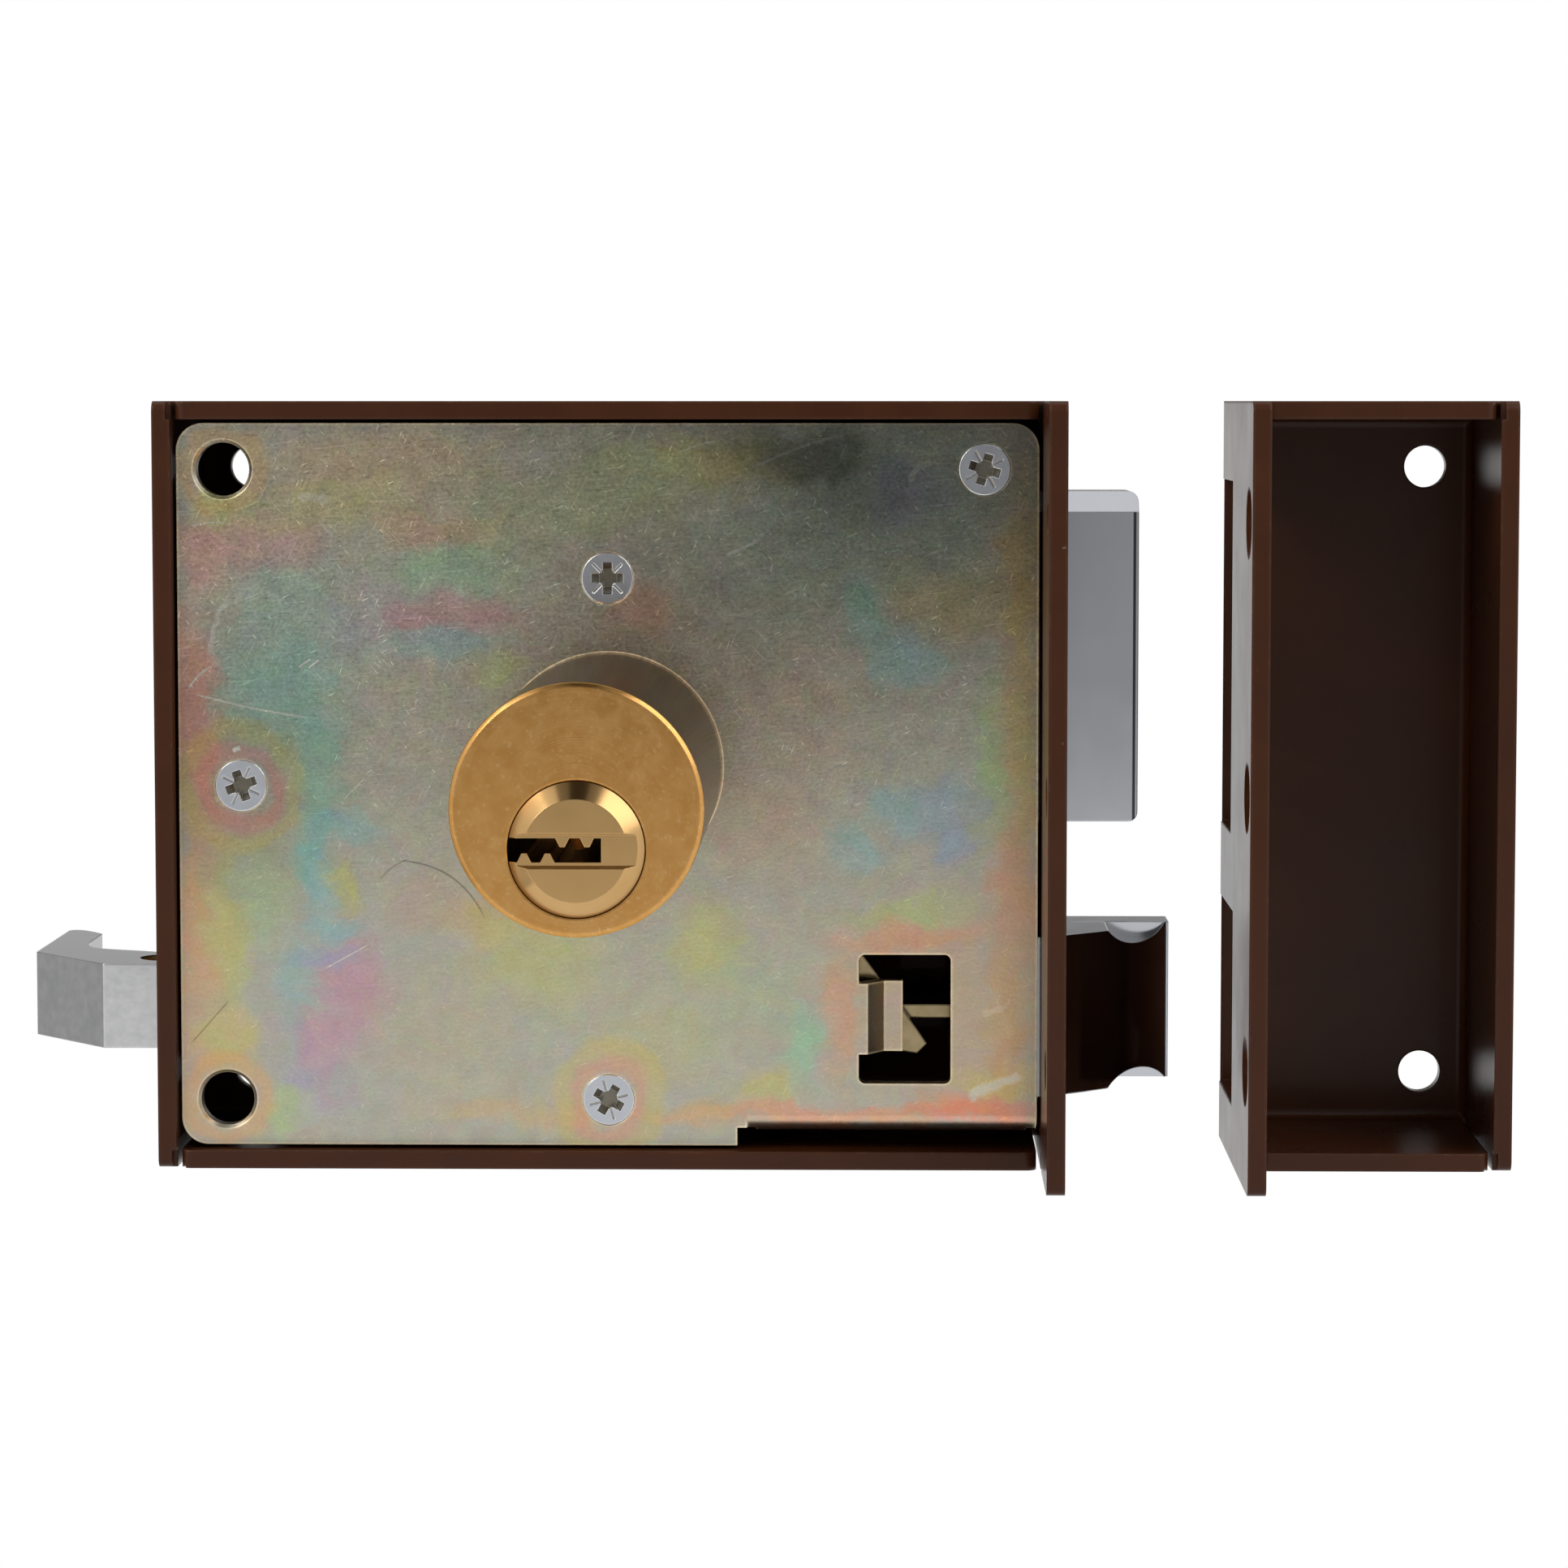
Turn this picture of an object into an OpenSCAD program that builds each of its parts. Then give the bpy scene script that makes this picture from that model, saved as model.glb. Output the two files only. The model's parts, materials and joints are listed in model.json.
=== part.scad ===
// Rim box lock with its keep box: a surface lock for a door, with a key cylinder on the door side,
// a sprung latch drawn back by a pull, and a dead bolt thrown by the key.
// Frame: origin on the cylinder axis at the door face, +X towards the forend, +Z up, +Y into the room.

/* [Case] */
// Width of the case over the forend
case_w = 100; // [95:1:115]
// Height of the case
case_h = 85; // [82:0.5:95]
// Depth of the case from the door face to the room side
case_d = 29; // [28.5:0.5:34]
// Thickness of the folded sheet
sheet_t = 2; // [1.5:0.1:2.4]
// Inside radius of the folds
fold_r = 1; // [0.5:0.1:1.5]
// Cylinder axis to the face of the forend
backset = 50; // [48:1:60]
// Cylinder axis above the middle of the case
axis_rise = 2.1; // [1.5:0.1:2.6]
// Forend flange in front of the door face
forend_reach = 18; // [12:0.5:25]
// Width of the open corner seams
seam_w = 0.5; // [0.3:0.1:1]
// Radius of the wall corners at the rim
rim_r = 1.2; // [0.5:0.1:2]

/* [Fixings] */
// Rows of fixing holes from the top and bottom of the case
fix_edge = 7.5; // [6.8:0.1:9]
// Fixing holes from the closed end of the case
fix_inset = 7.5; // [6:0.5:10]
// Fixing hole in the case and in the keep
fix_d = 4.8; // [4:0.1:6]
// Fixing hole in the cover plate
plate_fix_d = 5.9; // [5:0.1:7]
// Lip of the fixing holes in the cover plate
fix_lip = 0.4; // [0.2:0.1:0.8]
// Spacing of the three flange holes
flange_pitch = 29.5; // [25:0.5:32]
// Flange holes from the edge of the flange
flange_inset = 5; // [4.5:0.1:6]
// Flange hole diameter
flange_d = 4.5; // [3.5:0.1:5]
// Countersink of the flange holes
flange_sink_d = 7.8; // [6:0.1:8.4]

/* [Cover plate] */
// Thickness of the cover plate
plate_t = 2; // [1.5:0.1:2.4]
// Cover plate behind the rim
plate_recess = 2; // [1:0.1:3]
// Gap between the cover plate and the walls
plate_gap = 0.4; // [0.2:0.1:1]
// Corner radius of the cover plate
plate_r = 3; // [1:0.5:5]
// Window width
window_w = 10.2; // [9.8:0.2:12]
// Window height
window_h = 14.4; // [12:0.2:16]
// Right edge of the window from the face of the forend
window_inset = 12; // [11.6:0.2:13]
// Corner radius of the window
window_r = 0.7; // [0.3:0.1:2]
// Height of the lanced tongue in the window
tongue_h = 7.9; // [5:0.1:10]
// Length of the lanced tongue
tongue_l = 4.9; // [4.4:0.1:5.4]
// Stretch of the tongue at the level of the plate
tongue_flat = 1; // [0.8:0.1:1.4]
// Sloping stretch of the tongue
tongue_slope = 1.8; // [1.2:0.1:2.4]
// Step of the tongue into the case
tongue_step = 3; // [2:0.1:3.3]
// Thickness of the tongue
tongue_t = 1.6; // [1:0.1:1.8]
// Folded bottom edge: length along the plate
hem_w = 30; // [20:1:34]
// Folded bottom edge from the plate's right edge
hem_inset = 1.2; // [0.8:0.1:3]
// Folded bottom edge: depth into the case
hem_d = 8; // [4:0.5:10]
// Folded bottom edge above the plate's bottom
hem_rise = 1.6; // [0.5:0.1:2]
// Outside radius of the folded bottom edge
hem_r = 1.8; // [1:0.1:2]
// Relief notch beside the folded edge
notch_w = 2.1; // [1:0.1:3]
// Relief notch above the folded edge
notch_h = 0.4; // [0.2:0.1:1]

/* [Cover screws] */
// Screw thread diameter
screw_d = 3; // [2.5:0.1:3.2]
// Screw head diameter
screw_head_d = 5.7; // [5:0.1:6.4]
// Screw length
screw_l = 9; // [6:0.5:12]
// Threaded hole of a post beyond the screw
tap_spare = 0.5; // [0.3:0.1:1]
// Width of the drive recess
drive_w = 3.5; // [2.8:0.1:3.8]
// Width of one slot of the drive recess
drive_slot = 1; // [0.7:0.1:1.2]
// Depth of the drive recess
drive_deep = 1.6; // [1.2:0.1:1.8]
// Middle of the drive recess at the face of the head
drive_core_d = 2; // [1.6:0.1:2.2]
// Middle of the drive recess at its bottom
drive_tip_d = 1.2; // [0.8:0.1:1.4]
// Length of the marks between the slots
tick_l = 4.5; // [4:0.1:4.8]
// Width of the marks between the slots
tick_w = 0.25; // [0.15:0.05:0.4]
// Depth of the marks between the slots
tick_deep = 0.3; // [0.1:0.05:0.5]
// Post diameter
post_d = 4.6; // [4.2:0.1:4.8]
// Rivet spigot of posts and brackets through the case back
spigot_d = 3; // [2:0.1:3.5]
// Corner screw from the face of the forend
corner_screw_inset = 8.4; // [7:0.1:10]
// Side screw from the closed end of the case
side_screw_inset = 9.3; // [8:0.1:12]
// Top screw above the cylinder axis
top_screw_rise = 20.9; // [20.8:0.1:22]

/* [Key cylinder] */
// Cylinder diameter
cyl_d = 25.4; // [24.5:0.1:26]
// Cylinder face in front of the door face
cyl_reach = 55; // [50:1:80]
// Chamfer of the cylinder face
cyl_chamfer = 0.4; // [0.2:0.1:1]
// Threaded neck through the cover plate
neck_d = 23; // [21:0.1:23.5]
// Neck beyond the ring nut
neck_spare = 0.5; // [0.3:0.1:1]
// Ring nut outside diameter
nut_d = 27.6; // [27:0.1:28.4]
// Ring nut thickness
nut_t = 4; // [3:0.1:4.2]
// Slots in the ring nut
nut_slots = 4; // [2:1:6]
// Width of a ring nut slot
nut_slot_w = 3; // [2:0.1:4]
// Depth of a ring nut slot from the rim
nut_slot_deep = 1.4; // [0.8:0.1:2]
// Height of a ring nut slot
nut_slot_h = 2; // [1:0.1:2.6]
// Plug diameter
plug_d = 13.6; // [12.6:0.1:14]
// Plug axis below the cylinder axis
plug_drop = 3.9; // [3.6:0.1:4.4]
// Length of the plug barrel
plug_l = 42; // [38:1:44]
// Flat face of the plug inside its bevel
plug_face_d = 10.3; // [9:0.1:12]
// Bevel of the plug face, in front of the cylinder face
plug_bevel = 1.7; // [1.4:0.1:2]
// Rear journal of the plug
journal_d = 9; // [8.4:0.1:10]
// Rear journal beyond its clip
journal_end = 0.8; // [0.5:0.1:1.2]
// Height of the floor of the groove across the plug face
groove_h = 3.1; // [2.6:0.05:4]
// Slope of the sides of that groove, each side
groove_flare = 0.2; // [0.1:0.05:0.3]
// Depth of the groove across the plug face
groove_deep = 1; // [0.4:0.1:1.4]
// Height of the keyway
keyway_h = 2.4; // [2:0.1:2.6]
// Closed end of the keyway, right of the plug axis
keyway_end = 2.5; // [2.2:0.1:3]
// Height of a ward
ward_h = 0.9; // [0.6:0.1:1.1]
// Width of a ward at its root
ward_w = 1.4; // [1:0.1:1.5]
// Width of a ward at its tip
ward_tip = 0.5; // [0.3:0.1:0.7]
// Solid end of the plug behind the keyway
keyway_stop = 2; // [1.5:0.1:3]
// Number of pin chambers
pin_count = 5; // [4:1:6]
// Pitch of the pin chambers
pin_pitch = 6.6; // [6:0.1:6.8]
// First pin chamber behind the face
pin_first = 6.5; // [5:0.5:8]
// Pin diameter
pin_d = 2.8; // [2.4:0.1:3]
// Top of the key pins below the plug surface
pin_short = 0.3; // [0.25:0.05:0.5]
// Wall over the pin chambers
chamber_wall = 1.4; // [1:0.1:2]
// Driver pin length
driver_l = 4; // [3:0.1:4.4]
// Length of the cone at the key pin tip
pin_tip = 1.6; // [0.8:0.1:1.8]
// Wire of the pin springs
pin_wire = 0.35; // [0.25:0.05:0.4]
// Turns of a pin spring
pin_turns = 4; // [3:1:5]
// Retaining clip outside diameter
clip_d = 12.4; // [11.5:0.1:13.5]
// Inner cylinder clip outside diameter
inner_clip_d = 15.6; // [14.6:0.1:16.4]
// Depth of the clip groove
clip_bite = 0.4; // [0.3:0.05:0.6]
// Retaining clip thickness
clip_t = 0.8; // [0.6:0.1:1]
// Opening of the retaining clips
clip_gap = 4.5; // [3:0.1:5]
// Drive blade width
blade_w = 7; // [6:0.1:7.4]
// Drive blade thickness
blade_t = 2; // [1.5:0.1:2.4]

/* [Inner cylinder] */
// Inner cylinder face behind the case
inner_reach = 8; // [4:0.5:12]
// Inner cylinder in front of the inside of the case back
inner_lead = 3.8; // [3.6:0.1:4.2]
// Flange diameter of the inner cylinder
inner_flange_d = 36; // [34:0.5:36]
// Flange thickness of the inner cylinder
inner_flange_t = 2; // [1.5:0.1:2.4]
// Flange screws from the cylinder axis
inner_screw_r = 15.2; // [14.8:0.1:15.4]
// Flange screw head diameter
inner_head_d = 4.8; // [4.4:0.1:5]
// Flange screw head height
inner_head_t = 1.6; // [1.2:0.1:1.8]
// Flange screw slot, wide and deep
inner_slot = 0.8; // [0.5:0.1:0.9]

/* [Dead bolt] */
// Height of the bolt
bolt_h = 37.1; // [34:0.2:37.4]
// Thickness of the bolt
bolt_t = 12; // [11:0.2:13]
// Bolt from the inside of the case back
bolt_back = 3; // [2.4:0.1:3.6]
// Bolt beyond the forend as drawn, after one turn of the key
bolt_out = 9.1; // [8.6:0.1:9.6]
// Length of the bolt head
bolt_l = 25.4; // [22:0.2:28]
// Bevel of the near top edge of the bolt
bolt_bevel = 2.3; // [0.5:0.1:3]
// Radius of the bolt's end corners
bolt_r = 1.1; // [0.5:0.1:2]
// Bolt travel for one turn of the key
bolt_turn = 9.1; // [8:0.1:9.4]
// Thickness of the bolt tail
tail_t = 3; // [2:0.1:3.4]
// Tail beyond the cylinder axis
tail_l = 26; // [24:0.5:28]
// Tail held in the bolt head
tail_grip = 12; // [9:0.5:14]
// Middle of that tongue above the middle of the bolt
tail_tongue_rise = 7.7; // [7:0.1:8.4]
// Height of the tongue that enters the bolt head
tail_tongue_h = 15; // [12:0.5:16]
// Radius of the tail's end corners
tail_r = 4; // [1:0.5:6]
// Talon notch width
talon_w = 6; // [4:0.1:7]
// Talon notch depth
talon_h = 4.5; // [3:0.1:5]
// Bolt rivet diameter
bolt_rivet_d = 4; // [3:0.1:5]
// Spacing of the bolt rivets
bolt_rivet_pitch = 9; // [6:0.5:10]
// Cam radius
cam_r = 13; // [12:0.1:13.2]
// Cam hub diameter
cam_hub_d = 12; // [10.5:0.1:14]
// Width of the cam tooth
cam_tooth_w = 5; // [3:0.1:6]
// Leaf spring span under the top wall
leaf_span = 28; // [24:0.5:34]
// Leaf spring thickness
leaf_t = 0.6; // [0.4:0.1:0.8]

/* [Latch] */
// Height of the latch
latch_h = 17.9; // [15:0.1:18]
// Middle of the latch above the bottom of the case
latch_rise = 16.6; // [16.3:0.1:17]
// Latch beyond the forend
latch_out = 13.2; // [12:0.1:14]
// Thickness of the latch's back plate
latch_plate_t = 5.7; // [5:0.1:6.4]
// Start of the nose's bevel behind the forend face
nose_start = 0.65; // [0.4:0.05:1.5]
// Flat bevel of the nose, along and across the latch alike
nose_run = 5.45; // [4:0.05:6]
// Radius of the curved bevel out to the tip
nose_r = 55; // [50:1:80]
// Blunt edge of the nose at the tip
nose_blunt = 0.2; // [0.1:0.05:0.5]
// Nose behind the forend face
nose_back = 3.8; // [2.2:0.1:4.2]
// Rear end of the latch from the face of the forend
latch_tail = 10.5; // [9:0.1:11.5]
// Radius of the scallops in the nose
scallop_r = 4.2; // [3:0.1:5]
// Depth of the scallops
scallop_deep = 1.8; // [1:0.1:2.6]
// Scallops from the latch tip
scallop_back = 3.9; // [3.6:0.05:4.6]
// Thickness of the latch bar
bar_t = 1.5; // [1:0.1:2]
// Width of the latch bar
bar_w = 7; // [6.6:0.1:7.8]
// Latch bar beyond the pull pin
bar_end = 4; // [3.2:0.1:5]
// Latch bar held in the nose
bar_grip = 5.7; // [5:0.1:6.5]
// Rivet through nose and bar
latch_rivet_d = 3; // [2:0.1:3.4]
// Width of the ear on the bar
ear_w = 2.8; // [2:0.1:3.4]
// Right edge of the ear from the face of the forend
ear_inset = 20.2; // [20:0.1:20.6]
// Spring guide diameter
guide_d = 2.6; // [2:0.1:3]
// Spring guide beyond its bracket
guide_tail = 8; // [4:0.5:12]
// Spring guide held in the latch plate
guide_grip = 6.5; // [4:0.5:10]
// Latch spring outside diameter
spring_d = 5; // [4.2:0.1:5.4]
// Latch spring wire
spring_wire = 0.7; // [0.5:0.05:0.9]
// Latch spring turns
spring_turns = 10; // [7:1:12]
// Spring bracket from the cylinder axis
bracket_x = 12; // [10:0.5:14]
// Spring bracket sheet
bracket_t = 1.6; // [1.2:0.1:2]
// Spring bracket width
bracket_w = 7.2; // [6.4:0.1:8]
// Spring bracket foot
bracket_l = 8; // [6:0.5:9]

/* [Latch lever] */
// Lever pivot right of the cylinder axis
lever_x = 20.5; // [20.4:0.1:20.8]
// Lever pivot above the latch
lever_up = 13.9; // [13.6:0.1:14.2]
// Lever thickness
lever_t = 2; // [1.5:0.1:2.1]
// Lever boss radius
lever_boss_r = 4; // [3.4:0.1:4.4]
// Shoulder of the lever above the bar
shoulder_up = 6.1; // [5.8:0.1:6.4]
// Shoulder of the lever left of the hook's edge
shoulder_back = 1.85; // [1.6:0.05:2]
// Width of the lever's arm at its shoulder
arm_w = 3.6; // [3.2:0.1:4]
// Inner edge of the lever's hook above the bar
hook_up = 1.9; // [1.6:0.1:2.2]
// End of the lever's hook below the bar
hook_down = 3.9; // [3.4:0.1:4.2]
// Lean of the hook's inner edge
hook_lean = 0.55; // [0.2:0.05:0.7]
// Width of the hook
hook_w = 4.95; // [4.4:0.05:5.2]
// Cut corners of the hook
hook_cut = 1.1; // [0.6:0.1:1.4]
// Turn of the lever's arm from the vertical
arm_turn = 30; // [26:1:34]
// Gap between the ear and the lever's hook
ear_gap = 0.65; // [0.4:0.05:1]
// Lever pin diameter
lever_pin_d = 4; // [3:0.1:4.4]
// Lever pin head beyond its pin, each side
lever_head = 1.2; // [0.8:0.1:1.6]
// Lever pin head thickness
lever_head_t = 1.1; // [0.8:0.1:1.4]
// Lever post diameter
lever_post_d = 6; // [5.4:0.1:7]
// Lever stud diameter
stud_d = 3; // [2:0.1:3.2]
// Lever stud from the pivot
stud_arm = 7; // [6.6:0.1:7.2]
// Width of the lever's stud arm
stud_arm_w = 4.8; // [4:0.1:5]

/* [Pull] */
// Height of the pull
pull_h = 9.5; // [8:0.1:11]
// Middle of the pull above the middle of the latch
pull_rise = 0.7; // [0:0.1:1]
// Door face to the near side of the stem
stem_near = 6.7; // [6:0.1:7.4]
// Thickness of the stem in the wall
stem_t = 10.9; // [10:0.1:11]
// Stem inside the case, from its closed end
stem_in = 16; // [15:0.5:18]
// Straight stem outside the case
stem_out = 7; // [5:0.1:9]
// Outer face of the finger tab from the case
pull_out = 16.5; // [15:0.1:20]
// Thickness of the finger tab
tab_t = 4.5; // [3:0.1:6]
// Finger tab behind the case
tab_reach = 13.2; // [10:0.5:20]
// Slant of the end of the finger tab
tab_slant = 4.7; // [1:0.1:6]
// Bevel of the pull's outer corner into the room
pull_bevel = 11.7; // [8:0.5:14]
// Rise of the stem's room side towards the tab
stem_rise = 5.4; // [4:0.1:6.5]
// Hollow between stem and tab, along the tab
web_tab = 6; // [3:0.1:8]
// Hollow between stem and tab, along the stem
web_stem = 3.3; // [2:0.1:4]
// Pull pin outside the case
pull_pin_out = 0.3; // [0.2:0.1:1.5]
// Head of the pull pin
pull_pin_head_d = 6.8; // [5:0.1:7]
// Shank of the pull pin
pull_pin_d = 4; // [3:0.1:4.6]
// Pull pin head below the top of the stem
pull_pin_sunk = 0.6; // [0.2:0.1:1]
// Pull pin head thickness
pull_pin_head_t = 1.2; // [0.6:0.1:2]

/* [Keep box] */
// Forend face to the keep as drawn
keep_gap = 19.5; // [19.4:0.1:40]
// Width of the keep
keep_w = 30.5; // [26:0.2:40]
// Back fixing holes from the far side of the keep
keep_fix_inset = 7.3; // [6:0.1:10]
// Play of the bolt in the keep
keep_play = 1.2; // [0.5:0.1:1.5]
// Play of the latch in the keep
keep_latch_play = 2; // [1.2:0.1:2.5]
// Middle of the latch slot above the middle of the latch
keep_latch_rise = 0.7; // [0:0.1:1]
// Latch slot in front of the bolt slot
keep_latch_lead = 4.3; // [2:0.1:5]

/* [Clearances] */
// Turning fits, on the radius
turn_gap = 0.1; // [0.05:0.05:0.2]
// Sliding fits, each side
slide_gap = 0.35; // [0.2:0.05:0.4]
// Gap between layers that pass each other
layer_gap = 0.3; // [0.2:0.05:0.35]
// Assembled fits, each side
seat_gap = 0.05; // [0.02:0.01:0.1]

/* [Hidden] */
$fn = 64;
over = 1;

case_x1 = backset;
case_x0 = backset - case_w;
case_mid = -axis_rise;
case_z0 = case_mid - case_h / 2;
case_z1 = case_mid + case_h / 2;
in_x0 = case_x0 + sheet_t;
in_x1 = case_x1 - sheet_t;
in_z0 = case_z0 + sheet_t;
in_z1 = case_z1 - sheet_t;
back_in = case_d - sheet_t;

keep_x0 = case_x1 + keep_gap;
keep_x1 = keep_x0 + keep_w;

fix_x = case_x0 + fix_inset;
fix_z = [case_z1 - fix_edge, case_z0 + fix_edge];
flange_z = [for (i = [-1:1]) case_mid + i * flange_pitch];
flange_y = -forend_reach + flange_inset;

plate_y0 = plate_recess;
plate_y1 = plate_recess + plate_t;
plate_x0 = in_x0 + plate_gap;
plate_x1 = in_x1 - plate_gap;
plate_z0 = in_z0 + plate_gap;
plate_z1 = in_z1 - plate_gap;
sink_h = (screw_head_d - screw_d) / 2;
// Cover screws: X, Z, and the angle at which each one was left
screw_spots = [
    [case_x1 - corner_screw_inset, fix_z[0], 17],
    [0, top_screw_rise, 0],
    [case_x0 + side_screw_inset, case_mid, -20],
    [0, fix_z[1], 30],
];

plug_z = -plug_drop;
face_y = -cyl_reach;
plug_y0 = face_y - plug_bevel;
plug_y1 = plug_y0 + plug_l;
neck_y1 = plate_y1 + nut_t + neck_spare;
clip_y0 = neck_y1 + turn_gap;
journal_y1 = clip_y0 + clip_t + journal_end;
bore_r = plug_d / 2 + turn_gap;
chamber_d = pin_d + 2 * turn_gap;
// Middles of the wards above and below, from the closed end of the keyway in ward widths
high_wards = [1, 2.75];
low_wards = [3.8, 5.45];
chamber_top = cyl_d / 2 - chamber_wall;
driver_z0 = plug_z + bore_r + turn_gap;
pin_y = [for (i = [0:pin_count - 1]) plug_y0 + pin_first + i * pin_pitch];

bolt_z1 = fix_z[0] - post_d / 2 - layer_gap;
bolt_z0 = bolt_z1 - bolt_h;
bolt_near = back_in - bolt_back - bolt_t;
bolt_x1 = case_x1 + bolt_out;
bolt_x0 = bolt_x1 - bolt_l;
bolt_y1 = bolt_near + bolt_t;
tail_y0 = bolt_near + (bolt_t - tail_t) / 2;
tail_y1 = tail_y0 + tail_t;
tail_z0 = plug_z + cam_r + 2 * layer_gap;
tail_top = bolt_z1 - layer_gap;
tail_tongue_mid = (bolt_z0 + bolt_z1) / 2 + tail_tongue_rise;
tail_tongue_z0 = tail_tongue_mid - tail_tongue_h / 2;
post_slot_h = post_d + 2 * slide_gap;
rivet_x = bolt_x0 + tail_grip / 2;
rivet_z = [for (s = [-1, 1]) tail_tongue_mid + s * bolt_rivet_pitch / 2];

inner_y0 = back_in - inner_lead;
inner_y1 = case_d + inner_reach;
stub_y0 = tail_y1 + layer_gap;
inner_clip_y0 = inner_y0 - turn_gap - clip_t;

latch_z = case_z0 + latch_rise;
latch_z0 = latch_z - latch_h / 2;
latch_z1 = latch_z + latch_h / 2;
latch_y0 = plate_y1 + slide_gap;
latch_y1 = back_in - slide_gap;
latch_split = latch_y1 - latch_plate_t;
latch_x0 = case_x1 - latch_tail;
latch_x1 = case_x1 + latch_out;
lever_y0 = plate_recess + tongue_step + tongue_t + layer_gap;
lever_y1 = lever_y0 + lever_t;
bar_y0 = lever_y1 + 2 * layer_gap;
bar_y1 = bar_y0 + bar_w;
bar_x1 = latch_x0 + bar_grip;
bar_z0 = latch_z - bar_t / 2;
bar_z1 = latch_z + bar_t / 2;
ear_x1 = case_x1 - ear_inset;
guide_y = latch_y1 - latch_plate_t / 2;
guide_x0 = bracket_x - guide_tail;

lever_z = latch_z + lever_up;
hook_x = ear_x1 + ear_gap;
window_x1 = case_x1 - window_inset;
window_x0 = window_x1 - window_w;

stem_y1 = stem_near + stem_t;
pull_z0 = latch_z + pull_rise - pull_h / 2;
pull_z1 = latch_z + pull_rise + pull_h / 2;
pull_x0 = case_x0 - pull_out;
stem_x1 = case_x0 + stem_in;
pull_pin_x = case_x0 - pull_pin_out;
pull_pin_y = (bar_y0 + bar_y1) / 2;
bar_x0 = pull_pin_x - bar_end;

BROWN = [0.24, 0.14, 0.11];
ZINC = [0.65, 0.59, 0.47];
STEEL = [0.67, 0.68, 0.69];
BRASS = [0.72, 0.55, 0.31];
CHROME = [0.62, 0.63, 0.65];

// A profile drawn in X and Z, extruded from y0 to y1
module along_y(y0, y1) {
    translate([0, y1, 0]) rotate([90, 0, 0]) linear_extrude(y1 - y0) children();
}

// A profile drawn in Y and Z, extruded from x0 to x1
module along_x(x0, x1) {
    translate([x0, 0, 0]) rotate([90, 0, 90]) linear_extrude(x1 - x0) children();
}

// A profile drawn in X and Y, extruded from z0 to z1
module along_z(z0, z1) {
    translate([0, 0, z0]) linear_extrude(z1 - z0) children();
}

// A round bar along Y at (x, z)
module rod_y(x, z, y0, y1, d) {
    translate([x, y0, z]) rotate([-90, 0, 0]) cylinder(h = y1 - y0, d = d);
}

// A cone along Y, of diameter d0 at y0 and d1 at y1
module cone_y(x, z, y0, y1, d0, d1) {
    translate([x, y0, z]) rotate([-90, 0, 0]) cylinder(h = y1 - y0, d1 = d0, d2 = d1);
}

// A round bar along X at (y, z)
module rod_x(y, z, x0, x1, d) {
    translate([x0, y, z]) rotate([0, 90, 0]) cylinder(h = x1 - x0, d = d);
}

// A round bar along Z at (x, y)
module rod_z(x, y, z0, z1, d) {
    translate([x, y, z0]) cylinder(h = z1 - z0, d = d);
}

// A rectangle given by two corners
module box2(a, b) {
    translate(a) square(b - a);
}

// A box given by two corners
module box3(a, b) {
    translate(a) cube(b - a);
}

// A rectangle with four round corners
module round2(a, b, r) {
    box2([a.x + r, a.y], [b.x - r, b.y]);
    box2([a.x, a.y + r], [b.x, b.y - r]);
    for (x = [a.x + r, b.x - r], y = [a.y + r, b.y - r]) translate([x, y]) circle(r);
}

// The bit that rounds off a corner at c, whose inside lies along the signs in s
module corner_bit(c, s, r) {
    difference() {
        translate(c + [s.x > 0 ? -over : -r, s.y > 0 ? -over : -r]) square(r + over);
        translate(c + [s.x * r, s.y * r]) circle(r);
    }
}

// A tube of round wire wound about Z from z = 0 to z = h
module coil(d, wire, h, turns, rings = 8, sides = 6) {
    steps = turns * rings;
    mid_r = (d - wire) / 2;
    rise = (h - wire) / steps;
    points = [for (i = [0:steps], j = [0:sides - 1])
        let (a = 360 * i / rings, b = 360 * j / sides, r = mid_r + wire / 2 * cos(b))
        [r * cos(a), r * sin(a), wire / 2 + i * rise + wire / 2 * sin(b)]];
    skin = [for (i = [0:steps - 1], j = [0:sides - 1])
        let (k = (j + 1) % sides, p = i * sides, q = p + sides)
        each [[p + j, p + k, q + k], [p + j, q + k, q + j]]];
    first = [for (j = [1:sides - 2]) [0, j + 1, j]];
    last = [for (j = [1:sides - 2]) [for (k = [0, j, j + 1]) steps * sides + k]];
    polyhedron(points, concat(skin, first, last));
}

// Solid of an open box folded from sheet, in front of the room side, offset inwards by t
module folded_solid(x0, x1, z0, z1, t, front) {
    r = fold_r + sheet_t - t;
    y1 = case_d - t;
    intersection() {
        along_z(z0 + t, z1 - t) difference() {
            box2([x0 + t, front], [x1 - t, y1]);
            corner_bit([x0 + t, y1], [1, -1], r);
            corner_bit([x1 - t, y1], [-1, -1], r);
        }
        along_x(x0 + t, x1 - t) difference() {
            box2([front, z0 + t], [y1, z1 - t]);
            corner_bit([y1, z0 + t], [-1, 1], r);
            corner_bit([y1, z1 - t], [-1, -1], r);
        }
    }
}

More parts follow.
